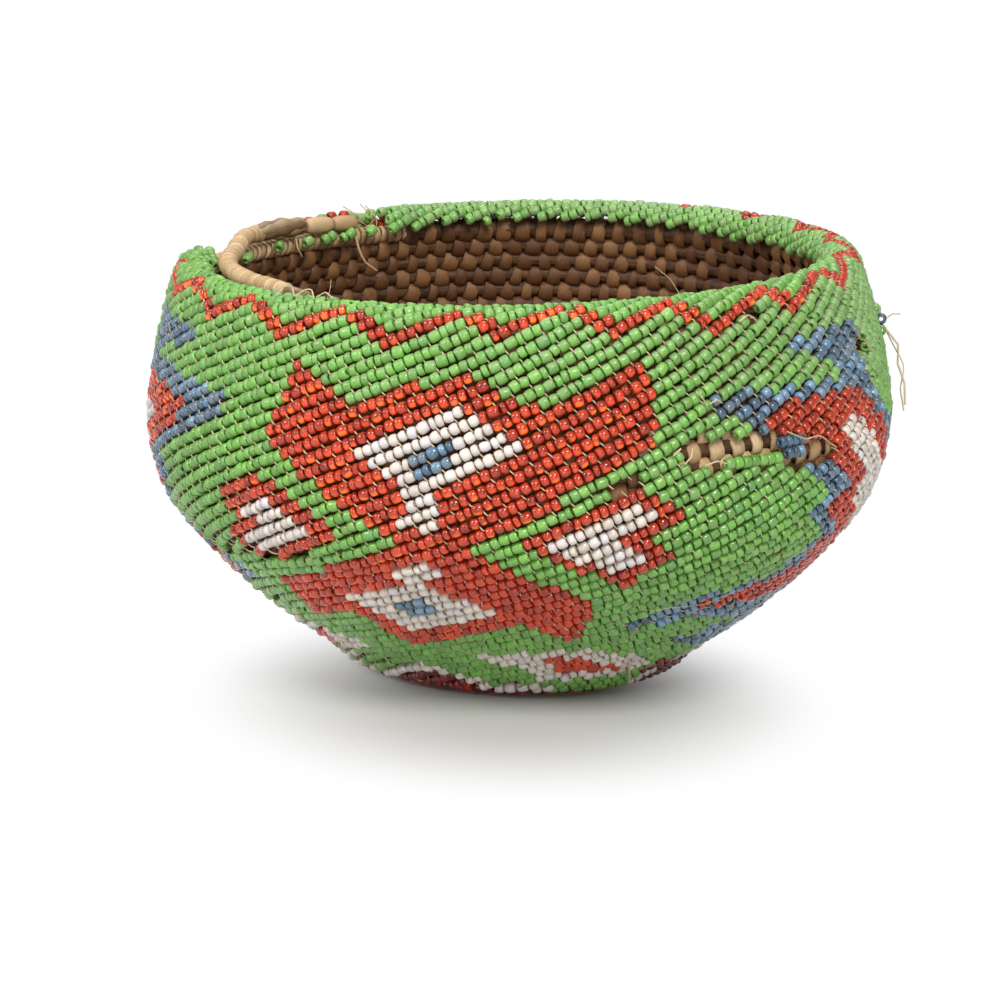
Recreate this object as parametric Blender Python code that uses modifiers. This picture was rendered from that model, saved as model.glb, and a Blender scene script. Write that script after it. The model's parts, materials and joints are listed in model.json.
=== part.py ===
"""Coiled willow basket under a cover of netted glass beads.

A willow coil spirals from a start knot, across the base and up a bowl-shaped wall to the rim.
A net of seed beads, one bead thick, lies over the outside, turns over the rim and ends in a
short lip inside. Each field, figure and border of beads is a panel of its own. The net has a
slit at the front right, where the coil shows, and is torn off the rim at the back left. Beside
the tear it has slipped off the rim and stands up, and the tail of the coil shows there.
The origin is the middle of the base, on the surface that the basket stands on; the front is -Y.
"""

import math

import bmesh
import bpy
import numpy as np
from mathutils import Vector
from mathutils.geometry import tessellate_polygon

# Driving dimensions, in millimetres
MM = 0.001
BEAD = 2.2
CLEARANCE = 0.3
COIL_SLACK = 0.65
COIL = 2.6
COIL_PITCH = 3.263
RIM_HEIGHT = 78.3
BASE_FLAT = 28.2
FOOT_RUN = 30.5
LIP_DROP = 0.9
# Outer bead surface in half section, radius and height, from the flat of the base to the rim
WALL_POINTS = (
    (BASE_FLAT, 0.0), (31.9, 0.8), (35.0, 3.7), (45.7, 11.7), (58.5, 23.5),
    (67.2, 35.2), (70.0, 47.0), (68.8, 58.7), (66.7, 68.0), (64.5, 75.4),
)
# The hand-made rim is a little higher to the right and the back, and leans to the left
RIM_RISE_RIGHT = 2.8
RIM_RISE_BACK = 1.1
RIM_SHIFT_LEFT = 1.4
SHIFT_START = 0.6

# Facets and turns
BAND_COLUMNS = 40
PANEL_SEGMENTS = 34
TURN_START = -3.0
COIL_POINTS_BASE = 12
COIL_POINTS_WALL = 16
COIL_POINTS_RIM = 24
BASE_TURNS_PER_ROD = 4
WALL_TURNS_PER_ROD = 3
KNOT_RADIUS = 2.6
KNOT_HEIGHT = 1.3

# Panels are cut with sides that point to this height on the axis
CUT_MIDDLE = 45.0

# The centre line of the coil lies under the beads by this much
COIL_INSET = BEAD + COIL_SLACK + COIL / 2
FOLD_RADIUS = COIL_INSET + 0.3

# Panels: outlines in degrees round from the front (to the right) and millimetres up the wall
WING_UPPER_RED = ((-35.5, 83), (-25, 75.5), (-8, 84.5), (2, 77.5), (19.5, 86), (20.5, 70),
                  (-7.5, 51.9), (-16.8, 51.3), (-40, 67.5))
WING_UPPER_WHITE = ((-25.5, 68), (-9, 78.3), (0.5, 70.6), (-12.6, 61.6), (-12.2, 60), (-10.5, 58.5),
                    (-10.8, 56), (-13.5, 53.8), (-17.3, 55.6), (-15.6, 58.5), (-16.2, 61.9))
WING_UPPER_BLUE = ((-17.2, 67.6), (-14.0, 70.6), (-8.4, 71.8), (-7.4, 69.6), (-12.2, 66.2), (-15.6, 65.4))
WING_LOWER_RED = ((-16.4, 50.8), (-46, 35.8), (-45.5, 24.7), (-31.5, 30.2), (-22.4, 19.1),
                  (0.5, 29.9), (13.5, 22.5), (15.1, 36.5), (-7.8, 51.3))
WING_LOWER_WHITE = ((-31.6, 34.7), (-17.2, 40.2), (-17.4, 41.3), (-20, 43.6), (-14.6, 47),
                    (-11.6, 44.2), (-14.6, 41.5), (-14.2, 40.4), (-3, 34.2), (-20.6, 26))
WING_LOWER_BLUE = ((-21.8, 33.1), (-17, 35.9), (-13.5, 33.4), (-17.5, 30.6))
HEART_LEFT_RED = ((-51.0, 56.0), (-39.4, 61.2), (-25.4, 50.8), (-44.3, 41.0), (-51.5, 46.3),
                  (-46.5, 50.8))
HEART_LEFT_WHITE = ((-46.6, 53.5), (-40.6, 57.0), (-30.5, 51.0), (-43.8, 44.8), (-47.2, 46.6),
                    (-41.5, 50.7))
HEART_RIGHT_RED = ((0.4, 52.0), (18.0, 63.2), (26.2, 58.3), (20.9, 53.3), (26.2, 49), (18, 41.8))
HEART_RIGHT_WHITE = ((5.9, 51.9), (18.2, 59.2), (22, 56.8), (14.1, 54), (21, 48.8), (15.7, 45.2))
STAR_BLUE = ((46, 85.5), (52, 86), (68, 86), (67, 79), (70, 75), (82.5, 65.5), (94, 75.5),
             (98, 79.5), (96, 86), (112, 86), (121, 84.5), (113.5, 81.5), (103, 76.8), (117.5, 75.8),
             (132, 74), (129.5, 71), (120, 65.7), (108, 59.5), (113, 56), (106, 49), (109, 44),
             (116, 39.5), (126, 34.5), (120, 30.5), (106, 28), (112, 25.5), (104, 19.5),
             (94, 13), (66, 12), (50, 15), (39, 20.5), (57, 25), (40, 28.5), (22.5, 27.6), (27.3, 31),
             (36.4, 37), (51, 39.2), (57.5, 48), (50.2, 55.3), (55.9, 58.1), (46, 63.7),
             (42.2, 69.3), (29.4, 76.5), (29.4, 77.8), (35.5, 78.8), (58, 78.2), (57.8, 79.7))
STAR_RED = ((38.7, 74.6), (43.8, 76), (60, 76.4), (64.2, 75), (82.5, 61), (100, 73), (114.7, 71.2),
            (121, 70.8), (115.2, 65.7), (103.7, 60.2), (99, 56.5), (104, 52), (98, 47), (103, 42),
            (118, 35), (112, 32), (96, 31), (60.4, 31.8), (46.5, 30.6), (36, 33.1), (44.3, 36.2),
            (56.4, 38.2), (60.1, 41.9), (57, 44.5), (63, 49), (55, 54.2), (62.3, 58.2), (51.6, 66),
            (46.6, 69.2), (41.6, 70.8))
STAR_WHITE = ((56.2, 69), (56, 70.4), (62.3, 70.9), (82.5, 55.8), (98, 67.5), (106, 66.5),
              (98, 60), (92, 56), (97, 52), (91, 47.5), (94, 45), (73, 45.4), (66.4, 53),
              (64.7, 56), (68, 59.2), (59.8, 65.9))
LENS_WHITE = ((-9, 17), (16, 20.2), (24.3, 17.4), (33.3, 14.6), (45.4, 9.3), (37.7, 6), (8, 6),
              (7, 9), (-1.5, 12.7))
LENS_RED = ((8, 17), (17.5, 14.8), (31.4, 9.8), (32.5, 8.4), (12, 8.4))
SLIT = ((23.8, 70), (31, 70.8), (37, 70.9), (42, 69.8), (46.7, 69), (54.5, 68.2),
        (54.5, 66.9), (50, 64.2), (44, 64.4), (41.5, 66.4), (31, 66.4), (23.8, 68))
FIGURE_REPEATS = (0.0, 180.0)
LENS_MIRROR = -22.0

# Borders: teeth round the basket, first tooth bottom in degrees, heights in millimetres
RIM_TEETH = 20
RIM_TOOTH_START = -3.0
RIM_TOOTH_BOTTOM = 87.9
RIM_TOOTH_RISE = 4.3
RIM_BAND = 3.0
FOLD_EASE = 1.0
FOOT_TEETH = 8
FOOT_TOOTH_START = -3.0
FOOT_TOOTH_BOTTOM = 0.5
FOOT_TOOTH_RISES = (1.6, 7.6)
FOOT_BAND = 2.7
FOOT_EASE = 0.3

# Torn stretch of the rim, in degrees round from the front, and what is left of the lip inside
TEAR_START = -153.0
TEAR_END = -100.5
TEAR_LIP_LEFT = 2.4

# Stretch beside it where the net has slipped and ends on top of the rim, at this climb
SLIP_START = -102.0
SLIP_END = -42.0
SLIP_EDGE_START = -98.0
SLIP_EDGE = 102.8
SLIP_ROWS = (0.0, 0.4, 0.7, 1.0)

# Tail of the coil, wound on over the rim and inside the slipped net: degrees round from the
# front, radius, and how far in from the end of the coil and above it the tail lies
TAIL = ((-148.0, 0.5, 0.85, 2.0), (-140.0, 0.95, 0.98, 2.42), (-130.0, 1.35, 1.1, 2.8),
        (-122.0, 1.5, 1.14, 2.95), (-115.0, 1.5, 2.6, 3.5), (-106.0, 1.5, 5.4, 3.6),
        (-98.0, 1.5, 6.8, 3.4), (-56.0, 1.5, 6.8, 3.4), (-48.0, 1.3, 6.6, 3.3), (-40.0, 0.6, 6.2, 3.2))
TAIL_STEP = 6.5

# Colours as seen on the beads and the willow
GREEN = (0.19, 0.42, 0.10, 1.0)
RED = (0.48, 0.045, 0.015, 1.0)
WHITE = (0.80, 0.76, 0.70, 1.0)
BLUE = (0.09, 0.19, 0.36, 1.0)
MAROON = (0.16, 0.02, 0.015, 1.0)
WILLOW = (0.46, 0.30, 0.15, 1.0)
DARK_WILLOW = (0.22, 0.12, 0.05, 1.0)


def clear_scene():
    for item in list(bpy.data.objects):
        bpy.data.objects.remove(item, do_unlink=True)


def collection(name):
    made = bpy.data.collections.new(name)
    bpy.context.scene.collection.children.link(made)
    return made


def material(name, color, roughness):
    made = bpy.data.materials.new(name)
    made.use_nodes = True
    shader = made.node_tree.nodes["Principled BSDF"]
    shader.inputs["Base Color"].default_value = color
    shader.inputs["Roughness"].default_value = roughness
    shader.inputs["Metallic"].default_value = 0.0
    made.diffuse_color = color
    return made


def smooth_curve(points, steps=24):
    """A smooth curve through points, with its slope at each point taken from its neighbours."""
    knots = np.array(points, dtype=float)
    lengths = np.hypot(*np.diff(knots, axis=0).T)
    places = np.concatenate([[0.0], np.cumsum(lengths)])
    slopes = np.gradient(knots, places, axis=0)
    slopes[0] = (1.0, 0.0)
    spans = []
    for index, length in enumerate(lengths):
        u = np.linspace(0.0, 1.0, steps, endpoint=False)[:, None]
        start = (2 * u**3 - 3 * u**2 + 1) * knots[index]
        start_slope = (u**3 - 2 * u**2 + u) * length * slopes[index]
        end = (3 * u**2 - 2 * u**3) * knots[index + 1]
        end_slope = (u**3 - u**2) * length * slopes[index + 1]
        spans.append(start + start_slope + end + end_slope)
    spans.append(knots[-1:])
    return np.concatenate(spans)


class Section:
    """The bead surface in half section, read by the run along it from the middle of the base."""

    def __init__(self):
        flat = np.linspace((0.0, 0.0), (BASE_FLAT, 0.0), 20, endpoint=False)
        wall = smooth_curve(WALL_POINTS)
        tangent = wall[-1] - wall[-2]
        tangent /= np.linalg.norm(tangent)
        normal = np.array((tangent[1], -tangent[0]))
        centre = wall[-1] - FOLD_RADIUS * normal
        turns = np.linspace(0.0, math.pi, 25)[1:, None]
        over = centre + FOLD_RADIUS * (np.cos(turns) * normal + np.sin(turns) * tangent)
        drops = np.linspace(0.0, LIP_DROP, 8)[1:, None]
        lip = over[-1] - drops * tangent
        self.points = np.concatenate([flat, wall, over, lip])
        steps = np.hypot(*np.diff(self.points, axis=0).T)
        self.runs = np.concatenate([[0.0], np.cumsum(steps)])
        along = np.gradient(self.points, self.runs, axis=0)
        along /= np.linalg.norm(along, axis=1)[:, None]
        self.normals = np.stack([along[:, 1], -along[:, 0]], axis=1)
        self.wall_top = self.runs[len(flat) + len(wall) - 1]
        self.end = self.runs[-1]
        self.tangent, self.normal = tangent, normal

    def point(self, run, inset=0.0):
        """Radius and height at a run, moved in from the bead surface by inset."""
        place = [np.interp(run, self.runs, self.points[:, axis]) for axis in (0, 1)]
        normal = [np.interp(run, self.runs, self.normals[:, axis]) for axis in (0, 1)]
        return place[0] - inset * normal[0], place[1] - inset * normal[1]


SECTION = Section()


def shift_share(z):
    """The share of the rim's shift that a height has: none below the belly."""
    return max((z / RIM_HEIGHT - SHIFT_START) / (1.0 - SHIFT_START), 0.0) ** 2


def rim_lean(x, y, z):
    """The basket's own unevenness: it rises to the right and its upper part shifts left."""
    around = max(math.hypot(x, y), 1e-6)
    rise = (RIM_RISE_RIGHT * x + RIM_RISE_BACK * y) / around
    return x - RIM_SHIFT_LEFT * shift_share(z), y, z + rise * z / RIM_HEIGHT


def place(angle, radius, height):
    """A point in metres, from degrees round from the front, radius and height in millimetres."""
    turn = math.radians(angle - 90.0)
    x, y, z = rim_lean(radius * math.cos(turn), radius * math.sin(turn), height)
    return Vector((x, y, z)) * MM


def section_place(angle, climb, inset=0.0):
    """Radius and height on the bead surface, from degrees round and millimetres up the wall.

    The net is worked level, so below the rim it doesn't follow the rise of the coil.
    """
    height = float(SECTION.point(climb + FOOT_RUN)[1])
    turn = math.radians(angle)
    rise = RIM_RISE_RIGHT * math.sin(turn) - RIM_RISE_BACK * math.cos(turn)
    sunk = rise * (height / RIM_HEIGHT - shift_share(height))
    run = climb + FOOT_RUN - sunk
    return SECTION.point(run, inset)


def wall_place(angle, climb, inset=0.0):
    """A point on the bead surface, from degrees round and millimetres up the wall."""
    return place(angle, *section_place(angle, climb, inset))


def add_object(name, mesh, group, surface=None):
    item = bpy.data.objects.new(name, mesh)
    group.objects.link(item)
    if surface is not None:
        mesh.materials.clear()
        mesh.materials.append(surface)
    return item


def evaluated_mesh(item, weld=0.0):
    """The mesh of an object with its modifiers or curve settings applied."""
    depsgraph = bpy.context.evaluated_depsgraph_get()
    depsgraph.update()
    mesh = bpy.data.meshes.new_from_object(item.evaluated_get(depsgraph), depsgraph=depsgraph)
    if weld > 0.0:
        work = bmesh.new()
        work.from_mesh(mesh)
        bmesh.ops.remove_doubles(work, verts=work.verts, dist=weld)
        bmesh.ops.recalc_face_normals(work, faces=work.faces)
        work.to_mesh(mesh)
        work.free()
    return mesh


def turned_shell(name, runs, group):
    """A bead layer, turned from its section between the first and the last run."""
    outer = [SECTION.point(run) for run in runs]
    inner = [SECTION.point(run, BEAD) for run in reversed(runs)]
    profile = [(max(float(radius), 0.0), float(height)) for radius, height in outer + inner]
    closed = profile[0][0] > 0.01
    edges = [(index, index + 1) for index in range(len(profile) - 1)]
    if closed:
        edges.append((len(profile) - 1, 0))
    mesh = bpy.data.meshes.new(name)
    mesh.from_pydata([(radius * MM, 0.0, height * MM) for radius, height in profile], edges, [])
    item = add_object(name, mesh, group)
    screw = item.modifiers.new("Turn", "SCREW")
    screw.steps = PANEL_SEGMENTS
    screw.render_steps = PANEL_SEGMENTS
    screw.use_merge_vertices = True
    screw.merge_threshold = 0.00001
    turned = evaluated_mesh(item, weld=0.00001)
    bpy.data.objects.remove(item, do_unlink=True)
    start = math.radians(TURN_START - 90.0)
    for vertex in turned.vertices:
        x, y, z = (value / MM for value in vertex.co)
        spun = (x * math.cos(start) - y * math.sin(start), x * math.sin(start) + y * math.cos(start))
        vertex.co = Vector(rim_lean(*spun, z)) * MM
    turned.name = name
    return turned


def outline_in_mm(outline):
    """An outline in flat millimetres, with its local circumference at each point."""
    flat = []
    for angle, climb in outline:
        radius = float(SECTION.point(climb + FOOT_RUN)[0])
        flat.append(Vector((math.radians(angle) * radius, climb)))
    return flat


def grown(rough, distance):
    """An outline moved out by a distance, or in by a negative one."""
    outline = finely(rough)
    flat = outline_in_mm(outline)
    count = len(outline)
    area = sum(flat[i].x * flat[(i + 1) % count].y - flat[(i + 1) % count].x * flat[i].y
               for i in range(count))
    side = 1.0 if area > 0 else -1.0
    moved = []
    for index, (angle, climb) in enumerate(outline):
        back = math.radians(outline[index - 1][0] - angle)
        ahead = math.radians(outline[(index + 1) % count][0] - angle)
        radius = float(SECTION.point(climb + FOOT_RUN)[0])
        before = Vector((-back * radius, climb - outline[index - 1][1])).normalized()
        after = Vector((ahead * radius, outline[(index + 1) % count][1] - climb)).normalized()
        normals = [Vector((edge.y, -edge.x)) * side for edge in (before, after)]
        bisector = (normals[0] + normals[1]).normalized()
        reach = distance / max(bisector.dot(normals[0]), 0.35)
        moved.append((angle + math.degrees(bisector.x * reach / radius),
                      climb + bisector.y * reach))
    return moved


def finely(outline, widest=18.0, tallest=20.0):
    """An outline with points added, so that its edges follow the round wall."""
    points = []
    for index, (angle, climb) in enumerate(outline):
        next_angle, next_climb = outline[(index + 1) % len(outline)]
        parts = math.ceil(max(abs(next_angle - angle) / widest, abs(next_climb - climb) / tallest))
        for part in range(max(parts, 1)):
            share = part / max(parts, 1)
            points.append((angle + (next_angle - angle) * share,
                           climb + (next_climb - climb) * share))
    return points


def add_prism(work, outline, outside=3.0, inside=0.9):
    """A closed block over an outline, with sides that point to the middle of the basket."""
    middle = Vector((0.0, 0.0, CUT_MIDDLE)) * MM
    flat = [Vector((angle, climb, 0.0)) for angle, climb in outline]
    faces = tessellate_polygon([flat])
    rays = [wall_place(angle, climb) - middle for angle, climb in outline]
    outer = [work.verts.new(middle + ray * outside) for ray in rays]
    inner = [work.verts.new(middle + ray * inside) for ray in rays]
    for a, b, c in faces:
        work.faces.new((outer[a], outer[b], outer[c]))
        work.faces.new((inner[c], inner[b], inner[a]))
    for index in range(len(rays)):
        after = (index + 1) % len(rays)
        work.faces.new((outer[index], outer[after], inner[after], inner[index]))


def cutter(name, group, outlines):
    """Blocks for one or more outlines, as one cutter with all its faces out."""
    work = bmesh.new()
    for outline in outlines:
        block = bmesh.new()
        add_prism(block, outline)
        face_out(block)
        mesh = bpy.data.meshes.new(name)
        block.to_mesh(mesh)
        block.free()
        work.from_mesh(mesh)
        bpy.data.meshes.remove(mesh)
    return finish_cutter(name, group, work)


def face_out(work):
    bmesh.ops.recalc_face_normals(work, faces=work.faces)
    if work.calc_volume(signed=True) < 0.0:
        bmesh.ops.reverse_faces(work, faces=work.faces)


def columns(first, last):
    """The angles of a band's columns between two angles, with both of them."""
    angles = TURN_START + np.arange(-BAND_COLUMNS, BAND_COLUMNS) * 360.0 / BAND_COLUMNS
    return [first, *angles[(angles > first + 0.5) & (angles < last - 0.5)], last]


def band(name, rows, parts, surface, reach=None):
    """A band of beads one layer thick, from the lines that its rows follow round the wall.

    It is a closed ring, or goes only from one angle to another.
    """
    angles = TURN_START + np.arange(BAND_COLUMNS) * 360.0 / BAND_COLUMNS
    if reach is not None:
        angles = columns(*reach)
    work = bmesh.new()
    loops = []
    for angle in angles:
        climbs = [row(angle) for row in rows]
        outer = [wall_place(angle, climb) for climb in climbs]
        inner = [wall_place(angle, climb, BEAD) for climb in reversed(climbs)]
        loops.append([work.verts.new(point) for point in outer + inner])
    following = loops[1:] if reach is not None else loops[1:] + loops[:1]
    for loop, after in zip(loops, following):
        for corner in range(len(loop)):
            ahead = (corner + 1) % len(loop)
            work.faces.new((loop[corner], after[corner], after[ahead], loop[ahead]))
    if reach is not None:
        for loop in (loops[0], loops[-1]):
            for row in range(len(rows) - 1):
                work.faces.new((loop[row], loop[row + 1], loop[-row - 2], loop[-row - 1]))
    bmesh.ops.recalc_face_normals(work, faces=work.faces)
    mesh = bpy.data.meshes.new(name)
    work.to_mesh(mesh)
    work.free()
    return add_object(name, mesh, parts, surface)


def finish_cutter(name, group, work):
    mesh = bpy.data.meshes.new(name)
    work.to_mesh(mesh)
    work.free()
    item = add_object(name, mesh, group)
    item.hide_render = True
    item.display_type = "WIRE"
    return item


def cut(item, operation, tool):
    step = item.modifiers.new(operation.title(), "BOOLEAN")
    step.operation = operation
    step.object = tool
    step.solver = "EXACT"


def tooth_line(teeth, start, bottom, rises):
    """Height of a zigzag line at an angle, with the teeth's rises taken in turn."""
    def line(angle):
        tooth, phase = divmod((angle - start) / (360.0 / teeth) + 1e-6, 1.0)
        return bottom + rises[int(tooth) % len(rises)] * (1.0 - abs(2.0 * phase - 1.0))
    return line


def lifted(line, distance):
    return lambda angle: line(angle) + distance


def level(climb):
    return lambda angle: climb


def between(low, high, share):
    return lambda angle: low(angle) + (high(angle) - low(angle)) * share


def turned_by(outline, angle):
    return [(around + angle, climb) for around, climb in outline]


def mirrored(outline, axis):
    return [(2.0 * axis - around, climb) for around, climb in outline]


def add_panel(name, shell, outline, holes, parts, cutters, surface, slit=None):
    """One panel of beads: the wall layer inside an outline, less what is set into it."""
    panel = add_object(name, shell.copy(), parts, surface)
    cut(panel, "INTERSECT", cutter(f"{name}_outline", cutters, [grown(outline, -CLEARANCE / 2)]))
    if holes:
        inner = [grown(hole, CLEARANCE / 2) for hole in holes]
        cut(panel, "DIFFERENCE", cutter(f"{name}_hole", cutters, inner))
    if slit is not None:
        cut(panel, "DIFFERENCE", slit)


def coil_path(turn):
    """The coil's centre line, by the number of turns from the start knot."""
    run = KNOT_RADIUS + CLEARANCE + 0.15 + COIL / 2 + turn * COIL_PITCH
    return np.interp(run, COIL_RUNS, COIL_LINE[:, 0]), np.interp(run, COIL_RUNS, COIL_LINE[:, 1])


def coil_line():
    """The section line that the coil follows, under the beads, up to the top of the wall."""
    runs = np.linspace(0.0, SECTION.wall_top, 600)
    radius, height = SECTION.point(runs, COIL_INSET)
    line = np.stack([radius, height], axis=1)
    lengths = np.hypot(*np.diff(line, axis=0).T)
    return line, np.concatenate([[0.0], np.cumsum(lengths)])


COIL_LINE, COIL_RUNS = coil_line()
COIL_TURNS = (COIL_RUNS[-1] - KNOT_RADIUS - CLEARANCE - 0.15 - COIL / 2) / COIL_PITCH
BASE_TURNS = 8


def tube(name, places, sizes, thickness, parts, surface):
    """A round tube along places, with flat ends and as thick at each place as its size says."""
    curve = bpy.data.curves.new(name, "CURVE")
    curve.dimensions = "3D"
    curve.bevel_depth = thickness / 2 * MM
    curve.bevel_resolution = 1
    curve.use_fill_caps = True
    spline = curve.splines.new("POLY")
    spline.points.add(len(places) - 1)
    for point, here, size in zip(spline.points, places, sizes):
        point.co = (*here, 1.0)
        point.radius = size
    item = bpy.data.objects.new(name, curve)
    parts.objects.link(item)
    mesh = evaluated_mesh(item, weld=0.00001)
    bpy.data.objects.remove(item, do_unlink=True)
    add_object(name, mesh, parts, surface)


def coil_rod(name, first, last, parts, surface):
    """One length of willow, wound from one turn to another."""
    end_gap = CLEARANCE / 2
    first += end_gap / (2 * math.pi * float(coil_path(first)[0]))
    last -= end_gap / (2 * math.pi * float(coil_path(last)[0]))
    per_turn = COIL_POINTS_BASE if first < BASE_TURNS - 0.5 else COIL_POINTS_WALL
    if last > COIL_TURNS - 2.0:
        per_turn = COIL_POINTS_RIM
    marks = np.arange(math.ceil(first * per_turn + 0.3), last * per_turn - 0.3) / per_turn
    square = 0.5 / (2 * math.pi * float(coil_path(first)[0]))
    square_end = 0.5 / (2 * math.pi * float(coil_path(last)[0]))
    turns = [first, first + square, *marks, last - square_end, last]
    places = [place(360.0 * turn + TURN_START, *map(float, coil_path(turn))) for turn in turns]
    tube(name, places, [1.0] * len(turns), COIL, parts, surface)


def coil_tail(parts, surface):
    """The tapered tail of the coil, which lies on the rim's coil and then inside the net's edge."""
    angles, radii, inward, above = np.array(TAIL).T
    steps = math.ceil((angles[-1] - angles[0]) / TAIL_STEP)
    end_radius, end_height = map(float, coil_path(COIL_TURNS))
    places = []
    sizes = []
    for angle in np.linspace(angles[0], angles[-1], steps + 1):
        thick, across, up = (float(np.interp(angle, angles, row)) for row in (radii, inward, above))
        places.append(place(angle, end_radius - across, end_height + up))
        sizes.append(thick / (COIL / 2))
    tube("coil_tail", places, sizes, COIL, parts, surface)


def report_coil_gap():
    """Print the least gap between one round of the coil and the next."""
    least = 1e9
    for turn in np.arange(0.0, COIL_TURNS - 1.0, 1.0 / COIL_POINTS_RIM):
        here = place(360.0 * turn, *map(float, coil_path(turn)))
        above = place(360.0 * turn, *map(float, coil_path(turn + 1.0)))
        least = min(least, (here - above).length / MM - COIL)
    print(f"least gap between rounds of the coil: {least:.2f} mm")


def start_knot(parts, surface):
    """The flattened knot that the coil starts from."""
    mesh = bpy.data.meshes.new("start_knot")
    work = bmesh.new()
    bmesh.ops.create_uvsphere(work, u_segments=12, v_segments=6, radius=KNOT_RADIUS * MM)
    bmesh.ops.scale(work, verts=work.verts, vec=(1.0, 1.0, KNOT_HEIGHT / KNOT_RADIUS))
    bmesh.ops.translate(work, verts=work.verts, vec=(0.0, 0.0, COIL_INSET * MM))
    work.to_mesh(mesh)
    work.free()
    add_object("start_knot", mesh, parts, surface)


def foundation(parts, willow, dark_willow):
    """The coil, as lengths of willow laid end to end: the base, the wall and the rim."""
    start_knot(parts, dark_willow)
    rim_start = COIL_TURNS - 1.0
    base_count = BASE_TURNS // BASE_TURNS_PER_ROD
    for index in range(base_count):
        first = index * BASE_TURNS_PER_ROD
        coil_rod(f"base_coil_{index + 1}", first, first + BASE_TURNS_PER_ROD, parts, dark_willow)
    wall_count = round((rim_start - BASE_TURNS) / WALL_TURNS_PER_ROD)
    ends = np.linspace(BASE_TURNS, rim_start, wall_count + 1)
    for index in range(wall_count):
        coil_rod(f"wall_coil_{index + 1:02d}", ends[index], ends[index + 1], parts, dark_willow)
    coil_rod("rim_coil", rim_start, COIL_TURNS, parts, willow)
    coil_tail(parts, willow)
    report_coil_gap()


def strand(name, places, beads, parts, surface):
    """A loose thread of beads: a tube that swells at each bead."""
    line = np.array([tuple(point) for point in places])
    lengths = np.linalg.norm(np.diff(line, axis=0), axis=1)
    runs = np.concatenate([[0.0], np.cumsum(lengths)])
    swell = ((0.02, 0.25), (0.25, 0.92), (0.75, 0.92), (0.98, 0.25))
    marks = [(bead + share, size) for bead in range(beads) for share, size in swell]
    places_on = [Vector([np.interp(mark / beads * runs[-1], runs, line[:, axis])
                         for axis in range(3)]) for mark, _ in marks]
    tube(name, places_on, [size for _, size in marks], BEAD, parts, surface)


def tear_cutter(cutters):
    """The missing stretch of the net over the rim, down to the last beads of the lip."""
    work = bmesh.new()
    angles = np.linspace(TEAR_START, TEAR_END, 9)
    outer_foot = SECTION.point(RIM_TOOTH_BOTTOM - 0.8 + FOOT_RUN, -3.0)
    outer_line = SECTION.point(RIM_TOOTH_BOTTOM - 0.8 + FOOT_RUN, COIL_INSET)
    lip = SECTION.point(SECTION.end - TEAR_LIP_LEFT, COIL_INSET)
    lip_out = SECTION.point(SECTION.end - TEAR_LIP_LEFT, -3.0)
    top = RIM_HEIGHT + 12.0
    corners = (outer_foot, (outer_foot[0] + 6.0, top), (lip_out[0], top), lip_out, lip, outer_line)
    rings = [[work.verts.new(place(angle, float(radius), float(height)))
              for radius, height in corners] for angle in angles]
    for ring, after in zip(rings, rings[1:]):
        for index in range(len(corners)):
            ahead = (index + 1) % len(corners)
            work.faces.new((ring[index], after[index], after[ahead], ring[ahead]))
    work.faces.new(rings[0])
    work.faces.new(list(reversed(rings[-1])))
    bmesh.ops.recalc_face_normals(work, faces=work.faces)
    return finish_cutter("tear", cutters, work)


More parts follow.
